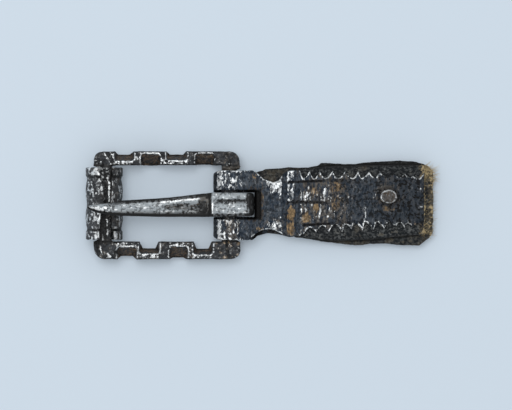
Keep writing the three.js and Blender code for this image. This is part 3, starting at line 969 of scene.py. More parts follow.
    def dress(self, skin: Skin) -> None:
        """Sets the marks: bright rims and strips round the notches, brown floors, dark corners with painted
        shade in their flutes, painted shade along the bars' edges and on the bar in the roller's seam, and a
        painted highlight along that bar's ridge.

        Args:
            skin: The skin to mark.
        """
        points = skin.flat
        x, y, z = points.T
        noise = self.grain.layers(points, 1.3)
        nearest = np.full(len(x), FAR)
        strip = np.zeros(len(x))
        for notch in self.notches:
            _, distance, depth = self.wedge(notch, x, y)
            centre, half, width = self.place(notch)
            foot = notch.face_share * width
            nearest = np.minimum(nearest, distance)
            beside = smooth(half + 0.3, half - 0.3, np.abs(x - centre)) * (notch.bar * y > 0)
            behind = smooth(foot - 0.1, foot + 0.2, depth) * (depth < width + 0.5)
            strip = np.maximum(strip, beside * behind)
        floor = smooth(0.0, -0.35, nearest)
        top = smooth(self.thickness / 2 - 0.9, self.thickness / 2 - 0.35, z)
        rim = smooth(0.34, 0.1, np.abs(nearest - 0.16)) * top
        between = smooth(self.left + 7.0, self.left + 8.5, x) * smooth(-1.2, -3.2, x)
        between = between * (np.abs(y) > self.high - 2)
        flute = from_lines(x, y, self.flutes)
        line = bump_at(flute, 0.75, 0.28) * top * smooth(-0.3, 0.4, noise) * (1 - 0.5 * (x > -5))
        corner = (1 - between) * (1 - strip) * (np.abs(y) > self.high - 0.5) * top
        vein = smooth(0.14, 0.03, np.abs(self.grain.at(points, 2.6)))
        vein *= smooth(-0.1, 0.3, self.grain.at(points, 1.9))
        # Painted shade along the bars' edges, where their sides fall away from the face.
        inner = np.where(y > 0, self.high, -self.low)
        from_inner = np.abs(y) - inner - self.cut_back(x, y, -1)
        from_outer = self.top - np.abs(y) - self.cut_back(x, y, 1)
        outline = smooth(0.42, 0.15, np.minimum(from_inner, from_outer)) * (np.abs(y) > inner - 0.3)
        from_axis = x + ROLLER_REACH
        in_seam = smooth(self.seam_side, self.seam_side - 0.6, from_axis) * (np.abs(y) < self.roller_top)
        wear = 0.56 * rim + 0.27 * strip * top + 0.06 * between * top + 0.32 * noise * top + 0.5 * line
        wear -= 0.25 * (x > -5) * (y > 0)
        wear = (wear + 0.55 * vein * corner) * (1 - 0.8 * outline) * (1 - 0.8 * in_seam)
        # The bar in the roller's seam: a painted highlight along its ridge, painted shade on the rest of it.
        above = smooth(6.9, 6.1, y) * smooth(0.6, 1.4, y) + 0.12 * smooth(10, 9, y) * smooth(6, 7, y)
        below = smooth(-3.6, -4.3, y) * smooth(-8.9, -8.0, y) * (0.6 + 0.5 * noise)
        ridge = 1.4 * above * bump_at(from_axis, 1.35, 0.4) + below * bump_at(from_axis, 0.85, 0.4)
        streak = smooth(0.1, 0.45, self.grain.at(points * [1, 0.16, 1], 0.5))
        bright = ridge * (z > 1) + 0.3 * streak * in_seam
        skin.mark(Mark.WEAR, wear * (1 - floor) + bright)
        skin.mark(Mark.GRIME, (0.7 + 0.3 * noise) * floor + 0.25 * (z < -1.5))
        rusty = floor * (0.06 + 0.36 * noise) + 0.3 * smooth(0.2, 0.8, noise) * (y < 0)
        by_hinge = (x > -4) * (np.abs(y) > 9) * (0.2 + 0.7 * noise) * np.where(y > 0, 0.4, 1.0)
        skin.mark(Mark.RUST, rusty + by_hinge * (1 - floor))
        seam_shade = in_seam * (1 - np.clip(bright, 0, 1))
        seam_shade *= 1 + 0.5 * smooth(0.9, 0.3, from_axis)
        skin.mark(Mark.SHADE, 0.55 * seam_shade + 0.5 * smooth(0.45, 0.1, flute) * top + 0.55 * outline)
        post = (x > -3) * smooth(self.high + 0.2, self.high - 0.6, y) * (y > self.sizes.plate_half_width)
        film = 0.6 * smooth(-0.1, 0.4, noise) * (y < 0) + 0.15 * (x > -4) * (y > 0)
        skin.mark(Mark.WARM, film + 0.8 * post)

    def make(self, finish: Iron) -> None:
        """Builds the frame."""
        add_piece("forged_frame", "frame", ["frame"], self.skin(), finish.material())


@dataclass
class Roller:
    """The sleeve of sheet iron round the outer bar, shaped with collars and bulges, its seam open on top.

    Attributes:
        profile_shares: Places along the roller, its radius there, and the seam's left and right edges.
    """

    grain: Grain = Grain(29)
    thickness: float = 1.05
    top: float = 10.6
    foot: float = -9.7
    edge_round: float = 0.3
    stations: int = 170
    around: int = 150
    profile_shares: Table = (
        (0, 0.975, -0.225, 0.456), (0.015, 1, -0.225, 0.456), (0.115, 1, -0.23, 0.456),
        (0.14, 0.93, -0.26, 0.46), (0.17, 0.925, -0.22, 0.46), (0.216, 0.965, -0.09, 0.45),
        (0.3, 1, -0.06, 0.43), (0.4, 0.99, -0.01, 0.38), (0.46, 0.945, 0, 0.37), (0.5, 0.93, -0.02, 0.38),
        (0.54, 0.945, -0.06, 0.39), (0.62, 0.995, -0.14, 0.41), (0.725, 1, -0.21, 0.43),
        (0.8, 0.95, -0.26, 0.46), (0.835, 0.915, -0.28, 0.5), (0.865, 0.93, -0.28, 0.52),
        (0.885, 0.985, -0.28, 0.54), (0.985, 0.985, -0.28, 0.6), (1, 0.96, -0.28, 0.61),
    )
    collar_shares: Pair = (0.12, 0.88)
    step_shares: Pair = (0.128, 0.862)

    def skin(self) -> Skin:
        """The sleeve: circles about the roller's axis whose radius and seam follow their place along it.

        Returns:
            The skin.
        """
        radius = ROLLER_AXIS[2]
        along = spread(self.stations, 0.3)
        y = self.top + along * (self.foot - self.top)
        wide, left, right = (shares_at(self.profile_shares, along, column) for column in (1, 2, 3))
        wobble = Grain(23).layers(on_axis(y, 1), 1.4)
        start = np.arcsin(right + 0.03 * wobble)
        finish = 2 * np.pi + np.arcsin(left + 0.04 * wobble[::-1])
        turn = start[:, None] + spread(self.around, 0.5)[None] * (finish - start)[:, None]
        from_end = np.minimum(along, 1 - along)[:, None] * (self.top - self.foot)
        from_seam = np.minimum(turn - start[:, None], finish[:, None] - turn) * radius
        worn = drop_at(np.minimum(from_end, from_seam), self.edge_round)

        def ring(radii: Array) -> Array:
            """The grid of points at these radii."""
            across = np.broadcast_to(y[:, None], turn.shape)
            return np.stack([radii * np.sin(turn) - ROLLER_REACH, across, radii * np.cos(turn)], axis=-1)

        outside = wide[:, None] * radius
        keep = np.ones((self.stations - 1, self.around - 1), bool)
        skin = shell(ring(outside - worn), ring(outside - self.thickness + worn), keep, levels=3)
        points = skin.points
        skin.dent(0.10 * self.grain.layers(points, 2.4) + 0.05 * self.grain.layers(points, 0.8, 2) - 0.06)
        self.dress(skin)
        skin.points = swung(skin.points)
        return skin

    def dress(self, skin: Skin) -> None:
        """Sets the marks: streaks and patches outside, a bright rim by the seam, painted shade in the steps
        at the collars, the left half painted lighter and the right darker as if lit from the left, and
        painted highlights on the collars and the bulges' crests.

        Args:
            skin: The skin to mark.
        """
        points = skin.flat
        x, y, z = points.T
        x = x + ROLLER_REACH
        radius = ROLLER_AXIS[2]
        share = (self.top - y) / (self.top - self.foot)
        coarse = self.grain.layers(points, 2.4)
        small = self.grain.layers(points, 0.7, 2)
        streaks = self.grain.layers(points * [1, 0.25, 1], 0.7, 2)
        first, last = self.collar_shares
        collar = smooth(first + 0.01, first - 0.01, share) + smooth(last - 0.01, last + 0.01, share)
        outer = smooth(0.5, 0.8, np.hypot(x, z) / radius)
        # The left half is painted lighter, as if lit from the left, with painted highlights on the bulges'
        # crests and on the collars.
        left = smooth(-0.5, -1.5, x)
        crest = bump_at(share, 0.33, 0.14) + bump_at(share, 0.68, 0.16)
        patches = 0.3 * streaks + 0.2 * coarse + 0.12 * crest
        patches += collar * (0.28 * smooth(-4.2, -2.6, x) + 0.6 * small)
        right = (1 - left) * (1.9 * streaks + 0.5 * coarse - 0.02)
        cut_edge = np.arcsin(np.clip(shares_at(self.profile_shares, share, 2), -1, 1)) * radius
        by_seam = smooth(0.55, 0.2, np.abs(x - cut_edge)) * (z > 0)
        seam_rim = 0.8 * by_seam * smooth(-0.25, 0.15, small) * (1 - np.clip(collar, 0, 1))
        step = sum(smooth(0.026, 0.012, np.abs(share - place)) for place in self.step_shares)
        skin.mark(Mark.WEAR, outer * (right + left * (patches + 0.18)) + seam_rim)
        skin.mark(Mark.GRIME, 0.6 * (1 - outer) + 0.15 * (1 - left) + 0.25 * smooth(0.1, 0.7, -coarse))
        skin.mark(Mark.RUST, 0.3 * (1 - left) * smooth(0, 0.6, coarse))
        # Painted shade on the right half, as if lit from the left, and in the steps below the collars.
        skin.mark(Mark.SHADE, 0.28 * (1 - left) * outer + 0.85 * step)
        skin.mark(Mark.WARM, 0.3 * (1 - left))

    def make(self, finish: Iron) -> None:
        """Builds the roller."""
        add_piece("sleeve_roller", "roller", ["roller"], self.skin(), finish.material())


@dataclass
class Tongue:
    """The forged pin, round towards its tip and flat at its root, with its end bent round the hinge bar.

    Attributes:
        tip_overhang: How far the tip reaches past the roller's axis.
        shoulder: Length of the curve that the strip turns down on.
        end_gap: Gap between the strip's end and the pin's underside.
        upper_shares: Places along it and its upper edge's share of the half width, as lower_shares below.
        hollow_shares: Both ends of the leaf-shaped hollow, as shares of the length.
    """

    sizes: Sizes
    grain: Grain = Grain(41)
    tip_overhang: float = 4.8
    loop_reach: float = 6.94
    half_width: float = 3.35
    root_thickness: float = 2.0
    roller_thickness: float = 2.2
    tip_thickness: float = 1.0
    tip_droop: float = 0.6
    tip_round: float = 1.3
    loop_round: float = 1.3
    strip: float = 0.8
    shoulder: float = 2.1
    end_gap: float = 0.6
    collar_reach: float = 5.6
    line_share: float = 0.35
    stations: int = 330
    turn_points: int = 26
    around: int = 88
    upper_shares: Table = (
        (0, -0.12), (0.02, -0.03), (0.05, 0.04), (0.08, 0.08), (0.147, 0.17), (0.208, 0.35), (0.436, 0.54),
        (0.559, 0.70), (0.681, 0.92), (0.741, 1), (1.02, 1),
    )
    lower_shares: Table = (
        (0, -0.3), (0.02, -0.47), (0.05, -0.63), (0.089, -0.77), (0.141, -0.88), (0.208, -0.94),
        (0.436, -1.02), (0.7, -1.02), (0.801, -1), (1.02, -0.96),
    )
    hollow_shares: Pair = (0.45, 0.715)

    @property
    def tip(self) -> float:
        """Where the tip ends."""
        return -(ROLLER_REACH + self.tip_overhang)

    @property
    def length(self) -> float:
        """Its whole length from the tip to the loop's far side."""
        return self.loop_reach - self.tip

    @property
    def line_y(self) -> float:
        """Where the line filed along the loop lies."""
        return self.sizes.tongue_offset + self.line_share * self.half_width

    def foot_at(self, x: Array | float) -> Array | float:
        """Height of the pin's underside: the straight line from the bore that just clears the roller."""
        rise = math.asin((ROLLER_AXIS[2] + self.sizes.gap - self.sizes.bore) / ROLLER_REACH)
        return self.sizes.bore / math.cos(rise) - x * math.tan(rise)

    def edges(self, share: Array) -> tuple[Array, Array]:
        """The lower and the upper edge in plan at shares of the length."""
        tables = (self.lower_shares, self.upper_shares)
        return tuple(self.sizes.tongue_offset + self.half_width * shares_at(table, share) for table in tables)

    def sides(self) -> tuple[Array, Array]:
        """The upper and lower side of the strip along its path, in the hinge's own plane.

        The pin's sides are straight lines with height over length. The loop's are quadratic curves round the
        bar's far side, a straight stretch under it, and an arc up its near side.

        Returns:
            The outer side and the inner side, with as many points each.
        """
        bore, strip, far = self.sizes.bore, self.strip, self.loop_reach
        tip, turn, axis, knee = self.tip, far - self.shoulder, -ROLLER_REACH, -bore
        top, foot, inner = bore + self.root_thickness, -bore - strip, far - strip
        at_roller = self.foot_at(axis)
        at_tip = at_roller - self.tip_droop
        x = tip + (turn - tip) * np.linspace(0, 1, self.stations) ** 1.15
        high = [at_tip + self.tip_thickness, at_roller + self.roller_thickness, top, top]
        low = [at_tip, at_roller, self.foot_at(knee), bore, bore]
        upper = np.interp(x, [tip, axis, knee, turn], high)
        lower = np.interp(x, [tip, axis, knee, 0, turn], low)
        middle, half = (upper + lower) / 2, (upper - lower) / 2
        half = half * self.tip_share(x - tip, 0.12)
        corner, under = self.turn_points, 16
        outer = [
            np.stack([x, middle + half], axis=1)[:-1],
            quarter((turn, top), (far, top), (far, 0), corner),
            quarter((far, 0), (far, foot), (turn, foot), corner),
            straight((turn, foot), (0, foot), under),
        ]
        within = [
            np.stack([x, middle - half], axis=1)[:-1],
            quarter((turn, bore), (inner, bore), (inner, 0), corner),
            quarter((inner, 0), (inner, -bore), (turn, -bore), corner),
            straight((turn, -bore), (0, -bore), under),
        ]
        angle = np.linspace(-np.pi / 2, -np.pi, 24)
        arc = np.stack([np.cos(angle), np.sin(angle)], axis=1)
        rise = np.linspace(0, bore - self.end_gap, 12)[1:, None] * [0, 1]
        outer += [(bore + strip) * arc, [-(bore + strip), 0] + rise]
        within += [bore * arc, [-bore, 0] + rise]
        return np.concatenate(outer), np.concatenate(within)

    def tip_share(self, from_tip: Array, least: float) -> Array:
        """How full the pin is near its tip: a quarter circle over its rounding, held above the least."""
        return np.maximum(np.sqrt(1 - (1 - np.clip(from_tip / self.tip_round, 0, 1)) ** 2), least)

    def skin(self) -> Skin:
        """Rings along the path: each is a rounded box between its sides, squarer towards the root.

        A ring's point is its middle plus half the width times the cosine and half the thickness times the
        sine of its angle, each to a power below 1 that squares the ring.

        Returns:
            The skin.
        """
        outer, inner = self.sides()
        stations = np.arange(len(outer))
        middle, half = (outer + inner) / 2, (outer - inner) / 2
        on_pin = stations < self.stations
        along = np.where(on_pin, (middle[:, 0] - self.tip) / self.length, 1.0)
        low, high = self.edges(along)
        wide = (high - low) / 2 * self.tip_share(along * self.length, 0.15)
        wide *= 1 - 0.25 * smooth(len(outer) - 10, len(outer), stations)
        past = np.clip((outer[:, 0] - self.loop_reach) / self.loop_round + 1, 0, 1)
        wide *= 1 - 0.12 * past**2.5

        angle = np.linspace(0, 2 * np.pi, self.around, endpoint=False)
        cos, sin = np.cos(angle)[None], np.sin(angle)[None]
        power = (0.95 - 0.5 * smooth(0.25, 0.72, along))[:, None]
        across = np.sign(cos) * np.abs(cos) ** power
        up = np.sign(sin) * np.abs(sin) ** np.maximum(power, 0.5)
        rings = np.empty((len(outer), self.around, 3))
        rings[..., 1] = ((high + low) / 2)[:, None] + wide[:, None] * across
        rings[..., [0, 2]] = middle[:, None] + half[:, None] * up[..., None]
        on_face = smooth(0.2, 0.7, up) * on_pin[:, None]
        rings[..., 2] -= self.cuts(rings[..., 0], rings[..., 1]) * on_face
        skin = tube(rings)

        points = skin.points
        ends = np.zeros(2)
        share = np.concatenate([np.repeat(along, self.around), ends])
        rough = smooth(0.3, 0.6, share)
        dents = 0.03 * rough * self.grain.layers(points, 0.6, 2) - 0.01
        skin.dent((0.02 + 0.06 * rough) * self.grain.layers(points, 1.8) + dents)
        height, face = (np.concatenate([grid.ravel(), ends]) for grid in (up, on_face))
        self.dress(skin, share, height, face)
        skin.points = swung(skin.points)
        return skin

    def cuts(self, x: Array, y: Array) -> Array:
        """Depth of the filed work on the upper face: the leaf-shaped hollow, the collar and the loop's line.

        Args:
            x: Places along the tongue.
            y: Places across it.

        Returns:
            The depths.
        """
        start, finish = (share * self.length + self.tip for share in self.hollow_shares)
        share = np.clip((x - start) / (finish - start), 0, 1)
        ends = smooth(0, 0.08, share) * smooth(1.03, 0.96, share)
        half = (0.5 + 0.95 * share + 0.7 * share**6) * ends + 0.01
        middle = self.sizes.tongue_offset - 0.65
        leaf = 0.42 * smooth(1.0, 0.6, np.abs(y - middle) / half) * (share > 0) * (share < 1)
        collar = 0.40 * smooth(0.55, 0.1, np.abs(x + self.collar_reach))
        return leaf + collar + 0.35 * smooth(0.4, 0.05, np.abs(y - self.line_y)) * smooth(-3.6, -3.2, x)

    def dress(self, skin: Skin, share: Array, up: Array, face: Array) -> None:
        """Sets the marks: painted sheen along the upper middle and a painted highlight on the tip, painted
        shade on the lower and upper sides, round the loop's far end and in the cuts.

        Args:
            skin: The skin to mark.
            share: Each one's place along the tongue as a share.
            up: Its height in its ring, from -1 to 1.
            face: 1 on the pin's upper face, 0 elsewhere.
        """
        points = skin.flat
        x, y, _ = points.T
        cut = np.where(share > 0.99, 0, self.cuts(x, y) * face)
        noise = self.grain.layers(points, 1.1)
        fine = self.grain.layers(points, 0.6, 2)
        low, high = self.edges(share)
        level = (y - low) / (high - low)
        pin = smooth(0.5, 0.42, share)
        tip = smooth(0.2, 0.12, share)
        root = smooth(0.73, 0.76, share)
        hollow = smooth(0.04, 0.2, cut) * (1 - root)

        beside = smooth(0.41, 0.45, share) * smooth(0.69, 0.65, share)
        # Painted sheen along the pin's upper middle, painted highlights on the tip and on the hollow's rims,
        # and worn metal on the root.
        wear = face * (pin * (0.02 + 0.27 * bump_at(level, 0.57 - 0.12 * tip, 0.46)))
        wear += face * tip * bump_at(level, 0.42, 0.46) * (0.26 + 2.2 * fine)
        wear += face * (0.19 * root + 0.14 * noise + 0.5 * root * fine)
        wear += 0.25 * (1 - face) * smooth(-0.4, 0.4, noise) * root
        wear += 0.9 * beside * bump_at(level, 0.79, 0.11)
        wear += beside * bump_at(level, 0.26, 0.10) * smooth(-0.05, 0.25, fine)
        wear += 0.7 * bump_at(x, -self.collar_reach + 0.7, 0.35) * smooth(0.8, -0.2, y) * face
        skin.mark(Mark.WEAR, wear * (1 - 0.8 * hollow) + 0.6 * hollow * smooth(0.0, 0.4, noise))
        skin.mark(Mark.GRIME, (0.75 + 0.4 * noise) * hollow + 0.45 * (1 - face) * (1 - root))
        skin.mark(Mark.RUST, 0.25 * hollow * smooth(0, 0.5, noise) + 0.2 * (1 - face))

        # Painted shade: the lower side, the flanks, a band along the upper edge, the loop's far end as it
        # turns away from the light, and the cuts.
        side = smooth(0.34, 0.12, level) * (1 - root)
        by_collar = smooth(0.65, 0.685, share) * smooth(0.74, 0.72, share) * face
        over_hollow = smooth(0.44, 0.5, share) * smooth(0.72, 0.69, share)
        loop_line = smooth(0.42, 0.15, np.abs(y - self.line_y)) * root * face
        edge = smooth(0.75, 0.35, np.abs(up)) * smooth(0.1, 0.3, share)
        rim = smooth(1.15, 0.75, high - y) * smooth(0.08, 0.2, share) + 0.8 * smooth(1.0, 0.5, y - low)
        rim *= smooth(-0.3, 0.1, up)
        dark = 0.8 * edge * (1 - 0.7 * root) + 0.55 * side + 0.95 * loop_line * smooth(-4.4, -3.4, x)
        dark += smooth(4.2, 5.0, x) * (0.35 + 0.55 * smooth(0.35, -0.1, fine)) + 0.5 * smooth(5.0, 5.6, x)
        dark += 0.75 * smooth(-2.0, -2.6, y) * root + hollow * (0.12 + 0.5 * smooth(-0.3, 0.3, fine))
        dark += by_collar * (0.35 + 0.5 * noise) + 0.35 * tip * smooth(0.0, -0.3, fine)
        dark += 0.5 * over_hollow * bump_at(cut, 0.08, 0.09) * (y > self.sizes.tongue_offset - 0.6)
        dark += (0.8 * rim + 0.22 * smooth(0.48, 0.22, level)) * (1 - root)
        skin.mark(Mark.SHADE, dark + 0.5 * smooth(0.05, 0.3, cut) * (1 - over_hollow) * (1 - root))
        skin.mark(Mark.WARM, hollow + by_collar + 0.5 * tip * smooth(0.5, 0.3, level) + 0.5 * side)

    def make(self, finish: Iron) -> None:
        """Builds the tongue."""
        add_piece("forged_tongue", "tongue", ["tongue"], self.skin(), finish.material())


@dataclass
class Studio:
    """A pale floor, soft lamps and the camera, which looks straight down as the photograph does."""

    picture_width: int = 512
    scale: float = 0.28
    middle: Pair = (-1.12, 0.07)
    reach: float = 950.0
    level: float = 5.0
    sensor: float = 36.0
    floor_colour: Triple = (0.594, 0.674, 0.755)
    paper_glow: float = 0.12
    sky: Triple = (0.95, 0.98, 1.0)
    sky_level: float = 0.68
    floor_half: float = 2.5
    floor_drop: float = 0.00005
    lamp_place: Triple = (-0.15, 0.22, 1.08)
    lamp_size: float = 0.6
    lamp_power: float = 5.3

    def camera(self) -> None:
        """Sets the camera: its lens makes one pixel as wide as the scale at the buckle's face."""
        data = bpy.data.cameras.new("camera")
        data.sensor_width = self.sensor
        data.lens = self.sensor * (self.reach - self.level) / (self.picture_width * self.scale)
        data.clip_start, data.clip_end = 0.01, 10
        camera = bpy.data.objects.new("camera", data)
        camera.location = Vector((*self.middle, self.reach)) * MM
        bpy.context.scene.collection.objects.link(camera)
        bpy.context.scene.camera = camera

    def floor(self) -> None:
        """Lays the floor, a wide sheet whose far edge is out of every view."""
        mesh = bpy.data.meshes.new("floor")
        half = self.floor_half
        corners = [(-half, -half, 0), (half, -half, 0), (half, half, 0), (-half, half, 0)]
        mesh.from_pydata(corners, [], [(0, 1, 2, 3)])
        mesh.materials.append(self.paper())
        floor = bpy.data.objects.new("floor", mesh)
        floor.location.z = -self.floor_drop
        bpy.context.scene.collection.objects.link(floor)

    def paper(self) -> bpy.types.Material:
        """The floor's material: pale paper, part of whose paleness is its own for the camera and in metal.

        Returns:
            The material.
        """
        graph = Graph("floor_paper")
        plain = graph.finish(Base_Color=self.floor_colour, Roughness=0.9)
        rays = ("Is Camera Ray", "Is Glossy Ray", "Is Transmission Ray")
        seen, glossy, through = (graph.node("ShaderNodeLightPath", {}, {}, ray) for ray in rays)
        share = self.paper_glow * (seen + glossy + through).clamped()
        tree = plain.node_tree
        pale = tree.nodes.new("ShaderNodeEmission")
        pale.inputs["Color"].default_value = (*self.floor_colour, 1)
        both = tree.nodes.new("ShaderNodeMixShader")
        graph.feed(both.inputs["Fac"], share)
        tree.links.new(graph.surface.outputs[0], both.inputs[1])
        tree.links.new(pale.outputs[0], both.inputs[2])
        tree.links.new(both.outputs[0], tree.nodes["Material Output"].inputs["Surface"])
        return plain

    def lamp(self, name: str, place: Triple, size: float, power: float) -> None:
        """Adds a square lamp that looks at the buckle.

        Args:
            name: The lamp's name.
            place: Where it hangs, in metres.
            size: Its side in metres.
            power: Its power in watts.
        """
        data = bpy.data.lights.new(name, "AREA")
        data.shape = "SQUARE"
        data.size = size
        data.energy = power
        lamp = bpy.data.objects.new(name, data)
        lamp.location = place
        lamp.rotation_euler = (-Vector(place)).to_track_quat("-Z", "Y").to_euler()
        bpy.context.scene.collection.objects.link(lamp)

    def light(self) -> None:
        """Sets the sky and a large lamp beyond the upper edge, as by a window."""
        world = bpy.data.worlds.new("sky")
        world.use_nodes = True
        background = world.node_tree.nodes["Background"]
        background.inputs["Color"].default_value = (*self.sky, 1)
        background.inputs["Strength"].default_value = self.sky_level
        bpy.context.scene.world = world
        self.lamp("window_light", self.lamp_place, self.lamp_size, self.lamp_power)

    def make(self) -> None:
        """Sets up camera, floor and light, and the plain view transform."""
        self.camera()
        self.floor()
        self.light()
        bpy.context.scene.view_settings.view_transform = "Standard"


@dataclass
class Plate:
    """One sheet folded double round the hinge bar: a slotted fold, a front leaf with teeth and a back leaf.

    Attributes:
        fold_offset: How far the fold's middle lies before the hinge axis.
        waist: Where the front leaf is narrowest and worn.
        scale: Millimetres for each of the photograph's pixels.
        picture_axis: The hinge axis in the photograph, in pixels.
        long_groove_shares: Both ends of each groove along it, as shares of its length and half width.
        knuckle_shares: Places along a leaf and its edge's share of the half width; each leaf's own follow.
        rust_spots: Each patch's middle in the photograph, its two sizes, all in pixels, and its strength.
    """

    sizes: Sizes
    grain: Grain = Grain(53)
    fold_offset: float = 0.94
    bend_start: float = 4.0
    bend_end: float = 9.0
    edge_round: float = 0.32
    cross_depth: float = 0.34
    long_depth: float = 0.30
    waist: float = 12.9
    scale: float = 0.28
    picture_axis: Pair = (260.01 - 8.5439 / 0.28, 205.25)
    leaf_rows: int = 272
    bend_rows: int = 32
    knuckle_rows: int = 26
    fold_rows: int = 52
    back_knuckle_rows: int = 18
    back_rows: int = 110
    side_cells: int = 32
    slot_cells: int = 14
    teeth_start_share: float = 0.363
    cross_groove_shares: Pair = (0.283, 0.347)
    long_groove_shares: tuple[Line, ...] = (
        (0.305, 0.665, 0.645, 0.72), (0.301, 0.085, 0.696, 0.12), (0.385, -0.57, 0.645, -0.49),
    )
    knuckle_shares: Table = (
        (-0.075, 0.9), (-0.07, 0.94), (-0.06, 0.975), (-0.045, 1),
    )
    front_upper_shares: Table = (
        (0.116, 1), (0.132, 0.97), (0.153, 0.87), (0.171, 0.77), (0.198, 0.71), (0.224, 0.66),
        (0.253, 0.71), (0.268, 0.83), (0.284, 0.93), (0.297, 0.98), (0.332, 1), (0.363, 1),
        (0.381, 0.77), (0.412, 1), (0.435, 0.77), (0.463, 1), (0.492, 0.78), (0.531, 0.99), (0.555, 0.77),
        (0.594, 0.98), (0.634, 0.78), (0.661, 0.98), (0.681, 0.79), (0.719, 0.97), (0.747, 0.79),
        (0.773, 0.97), (0.811, 0.79), (0.842, 0.94), (0.874, 0.81), (0.903, 0.91), (0.926, 0.8),
        (0.946, 0.84), (0.97, 0.76), (1, 0.92),
    )
    front_lower_shares: Table = (
        (0.1, 1), (0.139, 0.79), (0.171, 0.71), (0.203, 0.68), (0.229, 0.71), (0.253, 0.77),
        (0.284, 0.87), (0.306, 0.88), (0.363, 0.87),
        (0.383, 0.82), (0.414, 0.64), (0.445, 0.79), (0.479, 0.58), (0.511, 0.79), (0.542, 0.54),
        (0.58, 0.79), (0.597, 0.55), (0.628, 0.7), (0.647, 0.52), (0.685, 0.75), (0.697, 0.49),
        (0.742, 0.71), (0.759, 0.48), (0.797, 0.7), (0.82, 0.48), (0.854, 0.64), (0.875, 0.49),
        (0.901, 0.67), (0.916, 0.52), (0.939, 0.61), (0.97, 0.54), (1, 0.65),
    )
    back_upper_shares: Table = (
        (0.12, 1), (0.157, 0.87), (0.203, 0.71), (0.23, 0.66), (0.26, 0.71), (0.305, 0.95), (0.341, 1),
        (1, 0.93),
    )
    back_lower_shares: Table = (
        (0.119, 1), (0.148, 0.88), (0.203, 0.8), (0.262, 0.84), (0.317, 0.92), (0.373, 0.88), (1, 0.63),
    )
    rust_spots: Table = (
        (292, 214, 5.4, 8.5, 1.3), (306, 217.5, 4, 5, 1.2), (317, 208.5, 3.5, 6, 1), (314, 192, 4, 6, 0.5),
        (337, 188, 6, 8, 0.7), (335, 203, 5, 9, 0.45), (368, 168, 5, 5, 0.5), (357, 231, 6, 3.5, 0.5),
        (415, 226, 10, 4, 0.5), (389, 208.5, 7, 2.5, 0.6), (262, 199, 2.5, 16, 0.28), (275, 180, 4, 4, 0.6),
        (262, 230, 7, 4, 0.5), (290.5, 227, 4.2, 8, 1), (412, 176, 3, 3, 0.4), (292, 180, 3, 6, 0.3),
        (254.5, 175.5, 4, 4, 0.55), (232, 222, 6, 8, 0.4),
    )

    @property
    def cross_grooves(self) -> Pair:
        """Where the two grooves across the front leaf lie."""
        return tuple(share * self.sizes.front_leaf for share in self.cross_groove_shares)

    @property
    def long_grooves(self) -> Array:
        """Both ends of each groove along the front leaf."""
        return np.array(self.long_groove_shares) * ([self.sizes.front_leaf, self.sizes.plate_half_width] * 2)

    def path(self) -> tuple[Array, Array, Array]:
        """The sheet's middle line seen from the side, from the front leaf's end to the back leaf's.

        Each leaf is straight, and drops into the fold on a cubic curve that is level at both ends; the fold
        is a half circle. A station lies exactly at each end of the slot.

        Returns:
            The line in X and Z, its unit normal out of the fold, and 1 on the front leaf, 0 behind.
        """
        size = self.sizes
        radius = size.bore + size.sheet / 2
        level = size.leather + size.sheet / 2
        t = np.linspace(0, 1, self.bend_rows, endpoint=False)
        middle = (self.bend_start + self.bend_end) / 2
        bend_x = (1 - t) ** 3 * self.bend_end + 3 * t * (1 - t) * middle + t**3 * self.bend_start
        bend_z = level + (radius - level) * t * t * (3 - 2 * t)
        angle = np.linspace(np.pi / 2, 3 * np.pi / 2, self.fold_rows)
        front_x = np.concatenate([
            np.linspace(size.front_leaf, self.bend_end, self.leaf_rows, endpoint=False), bend_x,
            np.linspace(self.bend_start, -self.fold_offset, self.knuckle_rows, endpoint=False),
        ])
        front_z = np.concatenate([np.full(self.leaf_rows, level), bend_z, np.full(self.knuckle_rows, radius)])
        back_x = np.concatenate([
            np.linspace(-self.fold_offset, self.bend_start, self.back_knuckle_rows + 1)[1:], bend_x[:0:-1],
            np.linspace(self.bend_end, size.back_leaf, self.back_rows),
        ])
        back_z = np.concatenate([
            np.full(self.back_knuckle_rows, radius), bend_z[:0:-1], np.full(self.back_rows, level)
        ])
        taper_start = size.slot_length - size.slot_taper[0]
        for x, end in ((front_x, size.slot_length), (front_x, taper_start), (back_x, size.back_slot_length)):
            x[np.argmin(np.abs(x - end))] = end
        x = np.concatenate([front_x, radius * np.cos(angle) - self.fold_offset, back_x])
        z = np.concatenate([front_z, radius * np.sin(angle), -back_z])
        line = np.stack([x, z], axis=1)
        tangent = np.gradient(line, axis=0)
        tangent /= np.linalg.norm(tangent, axis=1, keepdims=True)
        return line, tangent[:, ::-1] * [1, -1], smooth(-0.5, 0.5, z)

    def filed(self, table: Table, along: Array) -> Array:
        """The front leaf's edge: straight stretches up to the teeth, then notches with round bottoms.

        Between a notch's bottom and a tooth's tip the edge follows the share of the way to the power 1.5.

        Args:
            table: The edge's table of shares.
            along: Places as shares of the leaf's length.

        Returns:
            The edge as a share of the half width.
        """
        places, values = np.array(table).T
        index = np.clip(np.searchsorted(places, along) - 1, 0, len(places) - 2)
        start, end = values[index], values[index + 1]
        share = np.clip((along - places[index]) / (places[index + 1] - places[index]), 0, 1)
        curved = np.where(end > start, share**1.5, 1 - (1 - share) ** 1.5)
        return start + np.where(along > self.teeth_start_share, curved, share) * (end - start)

    def front_edge(self, x: Array, side: int) -> Array:
        """The front leaf's upper (side 1) or lower (-1) edge at places along it."""
        rows = self.knuckle_shares + (self.front_upper_shares if side > 0 else self.front_lower_shares)
        return side * self.sizes.plate_half_width * self.filed(rows, x / self.sizes.front_leaf)

    def back_edge(self, x: Array, side: int) -> Array:
        """The back leaf's upper (side 1) or lower (-1) edge at places along it."""
        rows = self.knuckle_shares + (self.back_upper_shares if side > 0 else self.back_lower_shares)
        return side * self.sizes.plate_half_width * shares_at(rows, x / self.sizes.back_leaf)

